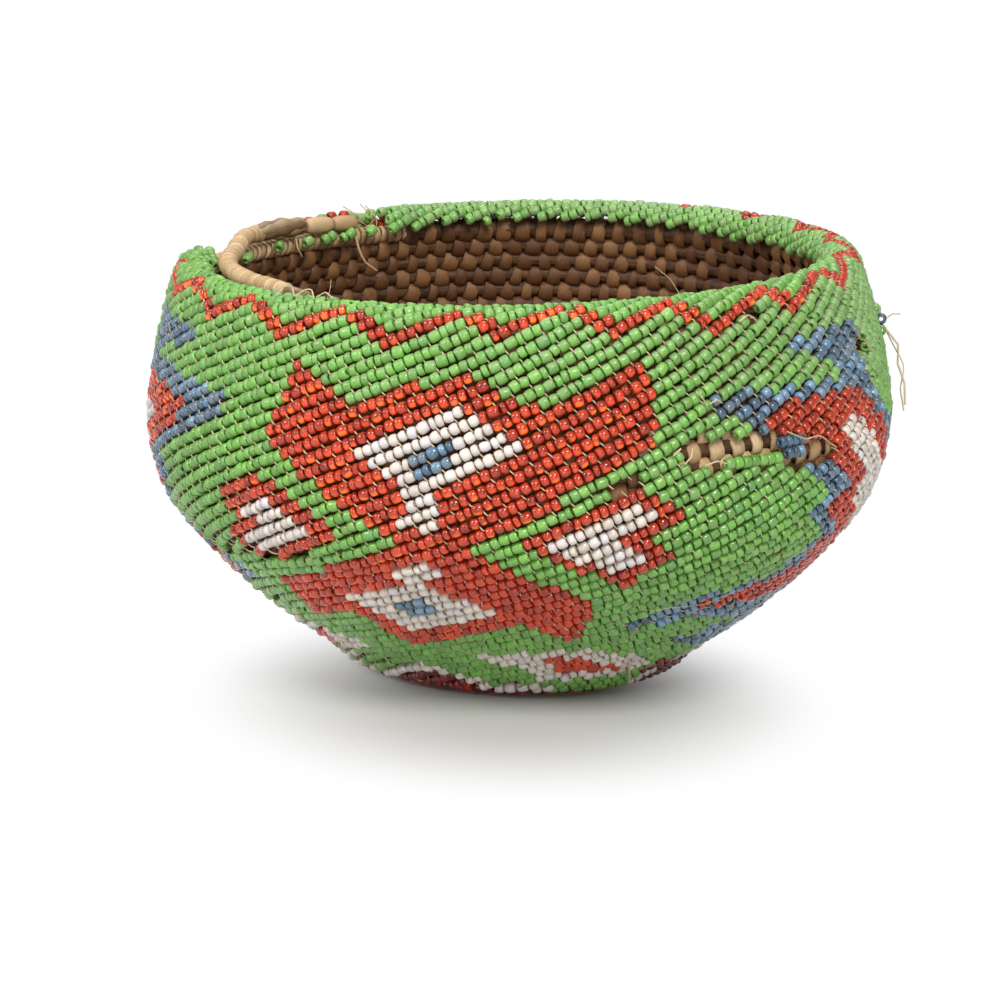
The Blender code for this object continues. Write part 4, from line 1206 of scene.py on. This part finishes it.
def thread_stitches():
    """Both ends of each piece of thread between two rows, as degrees round and height up the wall."""
    rounds, rows = net_rounds(), net_rows()
    starts, ends = [], []
    for number, (_, _, names) in sorted(rounds.items()):
        for place_in, name in enumerate(names):
            neighbour = names[(place_in + 1) % len(names)]
            if name not in rows or neighbour not in rows:
                continue
            for step in range(STITCH_BEADS):
                index = number * STITCH_BEADS + step
                at = index / STITCH_BEADS
                if index % 2 or at > rows[name][-1, 0] or at - 1 < rows[neighbour][0, 0]:
                    continue
                starts.append(np.array(along_row(rows[name], at)))
                ends.append(np.array(along_row(rows[neighbour], at - 1.0)))
    return np.array(starts), np.array(ends)


class BASKET_OT_net_thread(bpy.types.Operator):
    """Lay the thread that shows between the rows of beads"""

    bl_idname = "basket.net_thread"
    bl_label = "Net thread"

    def execute(self, context):
        draw = np.random.default_rng(11)
        starts, ends = thread_stitches()
        angle, climb = wrapped(starts[:, 0], 0.0), starts[:, 1]
        lip = LIP_END - DASH_LIP
        edge = np.interp(angle, (SLIP_START, SLIP_END), DASH_SLIP, lip, lip)
        keep = (climb > DASH_CLIMB) & (climb < edge) & (draw.random(len(starts)) < DASH_SHARE)
        keep &= ~inside(SLIT, angle, climb) & ~inside(SLIT, ends[:, 0], ends[:, 1])
        keep &= ~((angle > TEAR[0] - TEAR_EDGE) & (angle < TEAR[1] + TEAR_EDGE)
                  & (climb > line_at(TEAR_FOOT, angle) - TEAR_EDGE))
        starts, ends = starts[keep], ends[keep]
        _, up, out = wall_frame(*starts.T)
        first = wall_place(*starts.T, BEAD / 2) - DASH_INSETS[0] * up
        last = wall_place(*ends.T, BEAD / 2) + DASH_INSETS[1] * up
        along = unit(last - first)
        out = unit(out - (out * along).sum(1, keepdims=True) * along)
        across = np.cross(out, along)
        lift = DASH_LIFT + DASH_LIFT_SPREAD * draw.normal(size=(len(first), 1))
        places = (first + last) / 2 + lift * out
        length = np.linalg.norm(last - first, axis=1)
        thick = context.scene.basket_sizes.thread / MM / (2 * DASH_RADIUS)
        form = dash_form()
        material = thread_fibre(basket_colours()["thread"])
        half = len(places) // 2
        order = np.argsort(starts[:, 1])
        for name, part in (("net_thread_lower", order[:half]), ("net_thread_upper", order[half:])):
            axes = (along[part], across[part], out[part])
            ride(copies(name, form, places[part], axes, (length[part], thick, thick),
                        draw.random((len(part), 2)), material, THREAD_UNEVEN), "willow")
        forget(form)
        return {"FINISHED"}


# The coil


@lru_cache(maxsize=1)
def coil_line():
    """The section line that the coil follows, under the beads, up to the top of the wall."""
    runs = np.linspace(0.0, SECTION.wall_top, 600)
    line = np.stack(SECTION.point(runs, COIL_INSET), axis=1)
    lengths = np.hypot(*np.diff(line, axis=0).T)
    return line, np.concatenate([[0.0], np.cumsum(lengths)])


def coil_section(turn):
    """Radius and height of the coil's centre line, by the number of turns from the start knot."""
    line, runs = coil_line()
    run = KNOT_RUN + np.asarray(turn, float) * COIL_PITCH
    return [np.interp(run, runs, line[:, axis]) for axis in (0, 1)]


def coil_place(turn):
    return place(360.0 * np.asarray(turn, float) + TURN_START, *coil_section(turn))


def tail_place(angle, up=0.0, out=0.0):
    """The middle of the coil's tail at an angle, moved up and outwards from it, and its radius."""
    angle = np.asarray(angle, float)
    thick, inward, above = (np.interp(angle, *np.array(TAIL).T[[0, axis]]) for axis in (1, 2, 3))
    radius, height = coil_section(coil_turns())
    return place(angle, radius - inward + out, height + above + up), thick


def coil_turns():
    return (coil_line()[1][-1] - KNOT_RUN) / COIL_PITCH


def coil_marks(first, last, spacing):
    """Turns along the coil at about even distances."""
    turns = [first]
    while turns[-1] < last:
        around = 2 * math.pi * max(float(np.hypot(*coil_place(turns[-1])[:2])), 2.0)
        turns.append(turns[-1] + spacing / around)
    turns[-1] = last
    return np.array(turns)


def coil_frame(turns):
    """Unit vectors along the coil, up the wall and out of it at turns."""
    along = unit(coil_place(turns + 0.002) - coil_place(turns - 0.002))
    line, runs = coil_line()
    run = KNOT_RUN + turns * COIL_PITCH
    ahead = [np.interp(run + 0.5, runs, line[:, axis]) - np.interp(run - 0.5, runs, line[:, axis])
             for axis in (0, 1)]
    angle = np.radians(360.0 * turns + TURN_START - 90.0)
    up = unit(np.stack([ahead[0] * np.cos(angle), ahead[0] * np.sin(angle), ahead[1]], axis=1))
    out = unit(np.cross(along, up))
    return along, np.cross(out, along), out


def band_form(name, radius, thickness, sides=12):
    """A crowned band round x, one millimetre wide, as one closed loop."""
    profile = ((-0.5, radius), (-0.4, radius + thickness * 0.68), (0.0, radius + thickness),
               (0.4, radius + thickness * 0.68), (0.5, radius))
    return ring_form(name, profile, sides)


# The rods, and the splints that bind them: their spacing, size and slant, and how much each differs
ROD = 3.3
ROD_SPREAD = 0.03
ROD_STEP = 2.4
STITCH_PITCH = 4.3
STITCH_WIDTH = 2.9
STITCH_WIDTH_SPREAD = 0.14
STITCH_HEIGHT = 1.22
STITCH_DEPTH_SPREAD = 0.05
STITCH_SLANT = (12.0, 6.0)
STITCH_DROP = 0.42
BASE_TURNS = 8.0
WALL_LENGTHS = 8
KNOT_START = -1.25
KNOT_STITCHES = 7
PALE_STRETCH = (-158.0, -40.0)
PALE_PATCHES = ((18.0, 66.0, 63.0, 74.0), (62.0, 74.0, 78.5, 86.0))

# The rim's last turn, its close pale wraps, and the tail's
RIM_ROD_SHARE = 1.16
RIM_WRAP_PITCH = 1.6
RIM_WRAP_SIZES = ((1.5, 0.09), (1.04, 0.03), (1.02, 0.03))
RIM_WRAP_SLANT = (7.0, 3.0)
TAIL_ROD_SHARE = 1.85
WRAP_PITCH = 1.12
TAIL_WRAP_START = -121.0
TAIL_WRAP_SLANT = (-9.0, 4.0)
TAIL_WRAP_WIDTH = (0.94, 0.08)
TAIL_WRAP_GROW = (0.02, 0.05)

# The gathered splints twist round one another over the tail: how many, where they start and end in
# degrees round from the front and by how much each differs, and how far they swing
BUNDLE = 6
BUNDLE_STARTS = (-118.5, -0.6)
BUNDLE_ENDS = (-136.0, 0.5)
BUNDLE_SWING = 0.85
BUNDLE_THICK = (0.7, 1.7)
BROAD_TURNS = ((-141.0, -134.6, 3.5), (-146.6, -141.3, 3.3))


@lru_cache(maxsize=1)
def stitch_turns():
    """Turns at which splints bind the coil: each round is staggered with the one below it."""
    angles, rows = np.array([0.0, 90.0, 180.0, 270.0]), [0, 1, 2, 3]
    turns = []
    for number in range(int(coil_turns()) + 1):
        radius = max(float(np.hypot(*coil_place(number + 0.5)[:2])), 4.0)
        target = max(round(2 * math.pi * radius / STITCH_PITCH), 5)
        angles, rows = next_round(angles, rows, 0.5 * STITCH_PITCH, radius, target, 500 * number, easing=5)
        turns.append(number + np.sort(np.mod(angles, 360.0)) / 360.0)
    turns = np.concatenate(turns)
    return turns[turns < coil_turns() - 0.004]


def coil_stitches(name, at, form, draw, splint):
    """Flat splints bound round the coil, each slanting a little."""
    count = len(at)
    along, up, out = coil_frame(at)
    along = tilted(along, out, STITCH_SLANT[0] + STITCH_SLANT[1] * draw.normal(size=count))
    up = np.cross(out, along)
    wide = STITCH_WIDTH * (1.0 + STITCH_WIDTH_SPREAD * draw.normal(size=count))
    deep = 1.0 + STITCH_DEPTH_SPREAD * draw.normal(size=count)
    return copies(name, form, coil_place(at) - STITCH_DROP * up, (along, up, out),
                  (wide, STITCH_HEIGHT, deep), draw.random((count, 2)), splint, STITCH_UNEVEN)


def wrapped_pale(turns):
    """Which turns lie where the rim's coil is wrapped closely with pale splints."""
    angle = wrapped(360.0 * turns + TURN_START, 0.0)
    return (angle > PALE_STRETCH[0]) & (angle < PALE_STRETCH[1])


def in_patches(turns):
    """Which turns lie behind the slit and the small bare patch, where the splints are pale."""
    angle = wrapped(360.0 * turns + TURN_START, 0.0)
    height = coil_place(turns)[:, 2]
    found = np.zeros(len(turns), bool)
    for low, high, under, over in PALE_PATCHES:
        bottom, top = (wall_place(angle, np.full(len(turns), climb), COIL_INSET)[:, 2]
                       for climb in (under, over))
        found |= (angle > low) & (angle < high) & (height > bottom) & (height < top)
    return found


class BASKET_OT_coil(bpy.types.Operator):
    """Wind the willow coil and bind it with flat splints"""

    bl_idname = "basket.coil"
    bl_label = "Willow coil"

    def execute(self, context):
        draw = np.random.default_rng(23)
        last = coil_turns() - 1.0
        ends = [BASE_TURNS + (last - BASE_TURNS) * index / WALL_LENGTHS for index in range(WALL_LENGTHS + 1)]
        parts = [("base", ["start_knot", "base_coil_1", "base_coil_2"], 0.0, BASE_TURNS)]
        parts += [(f"wall_{index + 1:02d}", [f"wall_coil_{index + 1:02d}"], ends[index], ends[index + 1])
                  for index in range(WALL_LENGTHS)]
        form = band_form("stitch_form", radius=ROD / 2 - 0.1, thickness=0.46)
        shown = []
        for name, nodes, start, end in parts:
            marks = coil_marks(KNOT_START if start == 0.0 else start, end, ROD_STEP)
            waves = np.sin(np.cumsum(draw.normal(0.3, 0.5, len(marks))))
            paths = [(coil_place(marks), ROD * (1.0 + ROD_SPREAD * waves), 0.5)]
            ride(tubes(f"coil_rods_{name}", paths, 9, wood("willow_rod")), "willow", *nodes)
            at = stitch_turns()
            at = at[(at >= start) & (at < end)]
            if start == 0.0:
                at = np.concatenate([np.linspace(0.9 * KNOT_START, -0.06, KNOT_STITCHES), at])
            bare = in_patches(at)
            shown.append(at[bare])
            ride(coil_stitches(f"coil_stitches_{name}", at[~bare], form, draw, wood("willow_splint")),
                 "willow")
        ride(coil_stitches("patch_stitches", np.concatenate(shown), form, draw, wood("clean_splint")),
             "willow")
        forget(form)
        return {"FINISHED"}


def wrap_rim(draw):
    """The last turn of the coil: bound like the wall, and wrapped closely where the net is torn."""
    first, last = coil_turns() - 1.0, coil_turns()
    marks = coil_marks(first, last, 2.0)
    width = np.where(wrapped_pale(marks), COIL, RIM_ROD_SHARE * ROD)
    width = np.convolve(np.pad(width, 3, mode="edge"), np.full(7, 1 / 7), mode="valid")
    ride(tubes("rim_rod", [(coil_place(marks), width, 0.5)], 10, wood("willow_rod")),
         "rim_willow", "rim_coil")
    form = band_form("rim_stitch_form", radius=0.58 * ROD - 0.05, thickness=0.3)
    at = stitch_turns()
    at = at[(at >= first) & ~wrapped_pale(at)]
    ride(coil_stitches("rim_stitches", at, form, draw, wood("willow_splint")), "rim_willow")
    forget(form)
    at = coil_marks(first, last - 0.002, RIM_WRAP_PITCH)[:-1]
    at = at[wrapped_pale(at)]
    along, up, out = coil_frame(at)
    along = tilted(along, out, RIM_WRAP_SLANT[0] + RIM_WRAP_SLANT[1] * draw.normal(size=len(at)))
    up = np.cross(out, along)
    sizes = [middle + spread * draw.normal(size=len(at)) for middle, spread in RIM_WRAP_SIZES]
    form = band_form("wrap_form", radius=COIL / 2 + 0.05, thickness=0.42, sides=16)
    ride(copies("rim_wraps", form, coil_place(at), (along, up, out), sizes,
                draw.random((len(at), 2)), wood("pale_splint"), WRAP_UNEVEN), "rim_willow")
    forget(form)


def wrap_tail(draw):
    """The tail of the coil, from the torn stretch to inside the slipped net, wrapped all along."""
    places, thick = tail_place(np.arange(TAIL[0][0], TAIL[-1][0], 1.5))
    ride(tubes("tail_rod", [(places, TAIL_ROD_SHARE * thick, 0.5)], 12, wood("pale_rod")),
         "rim_willow", "coil_tail")
    wide = float(coil_section(coil_turns())[0])
    at = np.arange(TAIL_WRAP_START, TAIL[-2][0], math.degrees(WRAP_PITCH / wide))
    middle, thick = tail_place(at)
    along = unit(tail_place(at + 0.3)[0] - tail_place(at - 0.3)[0])
    out = np.cross(along, (0.0, 0.0, 1.0))
    along = tilted(along, out, TAIL_WRAP_SLANT[0] + TAIL_WRAP_SLANT[1] * draw.normal(size=len(at)))
    across = np.cross(out, along)
    grow = thick + TAIL_WRAP_GROW[0] + TAIL_WRAP_GROW[1] * draw.normal(size=len(at))
    broad = TAIL_WRAP_WIDTH[0] * WRAP_PITCH * (1.0 + TAIL_WRAP_WIDTH[1] * draw.normal(size=len(at)))
    form = band_form("tail_wrap_form", radius=0.80, thickness=0.34, sides=16)
    ride(copies("tail_wraps", form, middle, (along, across, unit(np.cross(along, across))),
                (broad, grow, grow), draw.random((len(at), 2)), wood("pale_splint"), TAIL_UNEVEN),
         "rim_willow")
    forget(form)


def gather_splints(draw):
    """The splints' ends, gathered over the tail, and two broad pale turns beside them."""
    paths = []
    for index in range(BUNDLE):
        at = np.linspace(BUNDLE_STARTS[0] + BUNDLE_STARTS[1] * index,
                         BUNDLE_ENDS[0] + BUNDLE_ENDS[1] * index, 28)
        turn = 1.05 * index + 0.11 * (at + 119.0)
        share = np.sin(np.linspace(0.12, math.pi - 0.1, len(at)))
        points = tail_place(at, up=0.2 + BUNDLE_SWING * np.sin(turn),
                            out=BUNDLE_SWING * np.cos(turn) - 0.35)[0]
        lumps = 1.0 + 0.16 * np.sin(at * (0.9 + 0.12 * index) + 2.0 * index)
        thick = BUNDLE_THICK[0] + BUNDLE_THICK[1] * share**0.6
        paths.append((points, thick * lumps, draw.random()))
    ride(tubes("gathered_splints", paths, 10, wood("bundled_splint")), "rim_willow")
    paths = []
    for low, high, thick in BROAD_TURNS:
        at = np.linspace(low, high, 14)
        share = np.sin(np.linspace(0.0, math.pi, len(at))) ** 0.35
        paths.append((tail_place(at, up=-0.1, out=-0.5)[0], thick * (0.55 + 0.45 * share), draw.random()))
    ride(tubes("broad_turns", paths, 14, wood("pale_splint")), "rim_willow")


class BASKET_OT_rim_wrap(bpy.types.Operator):
    """Wind the rim rod and its tail, and wrap them closely with pale splints"""

    bl_idname = "basket.rim_wrap"
    bl_label = "Rim wrapping"

    def execute(self, context):
        draw = np.random.default_rng(31)
        wrap_rim(draw)
        wrap_tail(draw)
        gather_splints(draw)
        return {"FINISHED"}


# Loose beads: colour, the solid they stand for, and for each row its two ends, climb, number and lift
LOOSE_BEADS = (
    ("green", "loose_green_strand", ((31.4, 41.8, 66.7, 7, 0.1), (85.8, 87.4, 85.0, 1, 0.7),
                                     (85.4, 87.0, 81.4, 1, 0.8))),
    ("blue", "loose_blue_strand", ((41.2, 46.2, 69.4, 4, 0.5), (42.2, 45.9, 67.4, 3, 0.9),
                                   (85.6, 87.2, 83.2, 1, 1.3))),
    ("red", None, ((-143.2, -141.4, 97.4, 1, 0.0), (-145.6, -143.9, 98.2, 1, 0.0))),
)
# Loose threads on the wall: thickness, shade, then angle, climb and lift along each
LOOSE_THREADS = (
    (0.30, 0.1, ((22.5, 69.0, 0.4), (23.5, 70.2, 0.9))),
    (0.34, 0.1, ((24.3, 67.4, 0.2), (25.0, 68.6, 0.9), (25.6, 70.0, 0.3))),
    (0.32, 0.0, ((27.5, 66.9, 0.2), (29.2, 67.6, 0.8), (31.0, 67.0, 0.4))),
    (0.24, 0.3, ((42.5, 71.2, 0.2), (45.2, 69.6, 1.3), (48.8, 69.6, 1.1), (53.5, 66.8, 0.4))),
    (0.26, 0.0, ((26.8, 79.7, 0.3), (27.4, 78.6, 0.9), (28.2, 77.6, 0.3))),
    (0.26, 0.1, ((28.8, 77.4, 0.4), (29.8, 78.0, 1.0), (30.8, 77.4, 0.5))),
    (0.28, 0.0, ((36.4, 90.6, 0.3), (38.0, 91.4, 0.9), (39.4, 90.8, 0.4))),
    (0.24, 0.1, ((-42.0, 96.0, 0.2), (-41.0, 97.4, 1.3), (-39.4, 97.6, 1.4), (-38.2, 96.4, 0.3))),
    (0.24, 0.0, ((-38.0, 96.4, 0.3), (-36.8, 97.6, 1.1), (-35.2, 97.6, 1.2), (-34.2, 96.6, 0.3))),
    (0.22, 0.1, ((-34.0, 97.0, 0.3), (-32.6, 97.8, 1.0), (-30.8, 97.2, 0.3))),
    (0.10, 0.2, ((-32.0, 97.4, 0.2), (-31.9, 98.2, 1.7), (-32.3, 98.8, 3.2))),
    (0.08, 0.1, ((28.0, 97.5, 0.2), (27.2, 98.6, 2.6), (25.2, 99.2, 5.0))),
    (0.26, 0.1, ((86.0, 84.8, 0.2), (86.4, 83.3, 1.3), (86.8, 83.6, 2.6), (87.4, 83.2, 4.0))),
    (0.40, 0.0, ((86.2, 81.4, 0.8), (85.6, 78.6, 2.4), (85.4, 75.4, 1.8), (84.6, 72.0, 2.6),
                 (84.0, 68.4, 2.4))),
    (0.26, 0.1, ((86.4, 80.8, 0.8), (86.2, 75.0, 2.8), (85.4, 71.0, 1.7), (85.8, 67.0, 2.2))),
    (0.46, 0.0, ((30.5, 14.4, 0.4), (34.3, 9.6, 0.7), (38.8, 4.4, 0.8))),
    (0.07, 0.0, ((43.0, 37.8, 0.3), (34.5, 36.5, 1.3), (25.0, 35.0, 0.6), (23.5, 24.8, 0.9))),
    (0.07, 0.0, ((11.5, 26.0, 0.4), (18.0, 20.0, 1.2), (24.0, 11.2, 0.5))),
    (0.06, 0.0, ((40.0, 30.0, 0.3), (47.0, 26.5, 1.6), (53.0, 27.0, 1.4), (58.0, 31.0, 0.4))),
)
# Frayed ends at the coil's tail: thickness at the top, then angle, rise and way out from it
FRAYED_ENDS = (
    (0.75, ((-146.0, -1.2, -0.8), (-146.2, -5.0, -1.8), (-147.4, -8.0, -2.4), (-149.6, -9.8, -3.0))),
    (0.60, ((-131.5, -1.0, -0.6), (-131.3, -4.0, -1.4), (-132.2, -5.8, -1.6))),
    (0.22, ((-144.5, 3.2, 0.2), (-146.5, 1.6, -1.5), (-149.0, 1.8, -1.3), (-151.5, -0.6, -0.8))),
    (0.20, ((-148.0, 3.6, -0.4), (-149.6, 1.2, -1.5), (-150.2, -1.4, -1.2))),
    (0.22, ((-149.5, 3.0, 0.3), (-151.0, 0.5, -1.0), (-150.4, -2.0, -1.3), (-149.2, -3.0, -1.5))),
    (0.24, ((-146.5, 0.6, -1.9), (-148.6, -0.8, -2.0), (-151.0, 0.8, -1.2))),
)
# Loose beads: the radius they lie at, how much they lean and their greatest length; frayed ends: the
# share of their thickness at the tip
LOOSE_RADIUS = 67.0
LOOSE_LEAN = 9.0
LONGEST_LOOSE = 1.9
FRAYED_TIP = 0.35


def bent(points, count=9):
    """A smooth line through a few points."""
    points = np.asarray(points, float)
    while len(points) < count:
        middles = (points[:-1] + points[1:]) / 2
        middles[1:-1] += (points[1:-2] + points[2:-1] - points[:-3] - points[3:]) / 16
        whole = np.empty((2 * len(points) - 1, 3))
        whole[0::2], whole[1::2] = points, middles
        points = whole
    return points


class BASKET_OT_loose_work(bpy.types.Operator):
    """Add the beads, threads and frayed splints that have come loose"""

    bl_idname = "basket.loose_work"
    bl_label = "Loose beads and threads"

    def execute(self, context):
        draw = np.random.default_rng(43)
        for tone, node, rows in LOOSE_BEADS:
            marks = []
            for low, high, climb, count, lift in rows:
                step = (high - low) / count
                marks += [(low + (index + 0.5) * step, climb, math.radians(step) * LOOSE_RADIUS, lift)
                          for index in range(count)]
            angles, climbs, lengths, lifts = np.array(marks).T
            along, _, out = wall_frame(angles, climbs)
            along = tilted(along, out, LOOSE_LEAN * draw.normal(size=len(marks)))
            places = wall_place(angles, climbs, 1.0) + lifts[:, None] * out
            piece = copies(f"{node or 'torn_edge_' + tone}_beads", bead_form(tone), places,
                           (along, np.cross(out, along), out),
                           (np.minimum(lengths, LONGEST_LOOSE), BEAD, BEAD), draw.random((len(marks), 2)),
                           glass(tone), dust=np.zeros(len(marks)))
            ride(piece, f"{tone}_beads", *([node] if node else []))
        forget_bead_forms()
        paths = [(bent([wall_place(angle, climb, -lift) for angle, climb, lift in marks]), thick, shade)
                 for thick, shade, marks in LOOSE_THREADS]
        ride(tubes("loose_threads", paths, 6, bpy.data.materials["thread_fibre"]), "willow")
        paths = []
        for thick, marks in FRAYED_ENDS:
            points = bent([tail_place(*mark)[0] for mark in marks])
            paths.append((points, thick * np.linspace(1.0, FRAYED_TIP, len(points)), 0.7))
        ride(tubes("frayed_ends", paths, 8, wood("pale_splint")), "rim_willow")
        return {"FINISHED"}


# Stage


CAMERA_PLACE = (0.0, -0.700, 0.17963)
CAMERA_PITCH = 0.2104
CAMERA_YAW = -0.0044
CAMERA_ROLL = 0.028
CAMERA_LENS = 135.75
CAMERA_SENSOR = 36.0

# The floor's corners, the ring in which its shadow fades to white, and the light of the sky
FLOOR = ((-3.0, -2.0, -0.0002), (3.0, -2.0, -0.0002), (3.0, 6.0, -0.0002), (-3.0, 6.0, -0.0002))
SHADOW_MIDDLE = -0.030
SHADOW_NARROW = 1.15
SHADOW_RING = (0.014, 0.071)
SHADOW_FADE = 1.3
SKY_LIGHT = 0.28

# Lamps: place, what it points at, how far across and how strong
LAMPS = {
    "key_lamp": ((0.22, -0.80, 0.90), (0.0, 0.0, 0.04), 0.45, 10.6),
    "low_lamp": ((0.05, -0.95, 0.10), (0.0, 0.0, 0.03), 0.4, 2.0),
    "left_lamp": ((-0.90, -0.45, 0.60), (0.0, 0.0, 0.05), 0.5, 6.5),
    "back_lamp": ((0.0, 0.45, 1.0), (0.0, 0.0, 0.04), 0.7, 4.2),
}


def add_camera():
    view = bpy.data.cameras.new("camera")
    view.lens = CAMERA_LENS
    view.sensor_width = CAMERA_SENSOR
    view.clip_start = 0.05
    camera = new_object("camera", view)
    forward = Vector((math.sin(CAMERA_YAW) * math.cos(CAMERA_PITCH),
                      math.cos(CAMERA_YAW) * math.cos(CAMERA_PITCH), -math.sin(CAMERA_PITCH)))
    right = forward.cross(Vector((0.0, 0.0, 1.0))).normalized()
    up = right.cross(forward)
    turned_right = math.cos(CAMERA_ROLL) * right + math.sin(CAMERA_ROLL) * up
    turned_up = -math.sin(CAMERA_ROLL) * right + math.cos(CAMERA_ROLL) * up
    axes = Matrix((turned_right, turned_up, -forward)).transposed()
    camera.matrix_world = Matrix.Translation(CAMERA_PLACE) @ axes.to_4x4()
    bpy.context.scene.camera = camera


def add_lamp(name, place_at, target, size, power):
    light = bpy.data.lights.new(name, "AREA")
    light.shape = "DISK"
    light.size = size
    light.energy = power
    lamp = new_object(name, light)
    lamp.location = place_at
    lamp.rotation_euler = (Vector(target) - Vector(place_at)).to_track_quat("-Z", "Y").to_euler()


def camera_or_glossy(graph):
    """One where the camera, glass or metal sees a surface, none where it only gives light."""
    path = graph.add("ShaderNodeLightPath")
    seen = path["Is Camera Ray"] + path["Is Glossy Ray"] + path["Is Transmission Ray"]
    return seen.sum("MINIMUM", seen, 1.0)


class BASKET_OT_stage(bpy.types.Operator):
    """Set up the pale floor, the soft lamps and the camera"""

    bl_idname = "basket.stage"
    bl_label = "Stage"

    def execute(self, context):
        floor_mesh = bpy.data.meshes.new("floor")
        floor_mesh.from_pydata(FLOOR, [], [(0, 1, 2, 3)])
        floor = new_object("floor", floor_mesh)
        made, graph = new_material("white_paper")
        place_on = graph.object_place()
        grain = graph.noise(60.0, 3.0, place_on)[0]
        paper = graph.add("ShaderNodeBsdfDiffuse", {
            "Color": graph.mix(grain * 0.04, tint("paper"), tint("paper_grain"))})
        shine = graph.add("ShaderNodeEmission", {"Color": tint("white"), "Strength": 1.0})
        across, ahead, _ = graph.parts(place_on)
        across = across * SHADOW_NARROW
        ahead = ahead - SHADOW_MIDDLE
        away = (across * across + ahead * ahead)**0.5
        share = graph.ramp(away, *SHADOW_RING)**SHADOW_FADE
        mixed = graph.add("ShaderNodeMixShader", {0: camera_or_glossy(graph) * share, 1: paper, 2: shine})
        graph.add("ShaderNodeOutputMaterial", {"Surface": mixed})
        floor_mesh.materials.append(made)

        world = bpy.data.worlds.new("studio")
        world.use_nodes = True
        world.node_tree.nodes.clear()
        sky = Graph(world.node_tree)
        soft = sky.add("ShaderNodeBackground", {"Color": tint("white"), "Strength": SKY_LIGHT})
        seen = sky.add("ShaderNodeBackground", {"Color": tint("white"), "Strength": 1.0})
        path = sky.add("ShaderNodeLightPath")
        both = sky.add("ShaderNodeMixShader", {0: path["Is Camera Ray"], 1: soft, 2: seen})
        sky.add("ShaderNodeOutputWorld", {"Surface": both})
        context.scene.world = world

        for name, lamp in LAMPS.items():
            add_lamp(name, *lamp)
        add_camera()
        context.scene.view_settings.view_transform = "Standard"
        return {"FINISHED"}


class BasketSizes(bpy.types.PropertyGroup):
    """Sizes that a user would change"""

    bead: bpy.props.FloatProperty(
        name="Bead", description="How far across a glass bead is",
        default=BEAD * MM, min=0.001, max=0.004, precision=4, subtype="DISTANCE", unit="LENGTH")
    thread: bpy.props.FloatProperty(
        name="Thread", description="How thick the beading thread is",
        default=0.00028, min=0.0001, max=0.001, precision=5, subtype="DISTANCE", unit="LENGTH")


def colour_property(name):
    label = name.replace("_", " ")
    return bpy.props.FloatVectorProperty(
        name=label.capitalize(), description=f"Colour of the {label}", default=COLOURS[name],
        min=0.0, max=1.0, size=3, subtype="COLOR")


class BasketColours(bpy.types.PropertyGroup):
    """Colours of the glass, the willow and the thread"""

    green: colour_property("green")
    red: colour_property("red")
    white: colour_property("white")
    blue: colour_property("blue")
    maroon: colour_property("maroon")
    willow: colour_property("willow")
    pale_willow: colour_property("pale_willow")
    thread: colour_property("thread")


STEPS = (BASKET_OT_coil, BASKET_OT_rim_wrap, BASKET_OT_bead_net, BASKET_OT_net_thread,
         BASKET_OT_loose_work, BASKET_OT_stage)


class BASKET_PT_panel(bpy.types.Panel):
    """The steps that make the basket, with its sizes and colours"""

    bl_idname = "BASKET_PT_panel"
    bl_label = "Beaded basket"
    bl_space_type = "VIEW_3D"
    bl_region_type = "UI"
    bl_category = "Basket"

    def draw(self, context):
        for group in (context.scene.basket_sizes, context.scene.basket_colours):
            for name in group.bl_rna.properties.keys():
                if name not in ("rna_type", "name"):
                    self.layout.prop(group, name)
        for step in STEPS:
            self.layout.operator(step.bl_idname)


CLASSES = (BasketSizes, BasketColours, *STEPS, BASKET_PT_panel)


def register():
    for item in CLASSES:
        bpy.utils.register_class(item)
    bpy.types.Scene.basket_sizes = bpy.props.PointerProperty(type=BasketSizes)
    bpy.types.Scene.basket_colours = bpy.props.PointerProperty(type=BasketColours)


def unregister():
    del bpy.types.Scene.basket_colours
    del bpy.types.Scene.basket_sizes
    for item in reversed(CLASSES):
        bpy.utils.unregister_class(item)


def main():
    register()
    for step in STEPS:
        group, name = step.bl_idname.split(".")
        getattr(getattr(bpy.ops, group), name)()


if __name__ == "__main__":
    main()
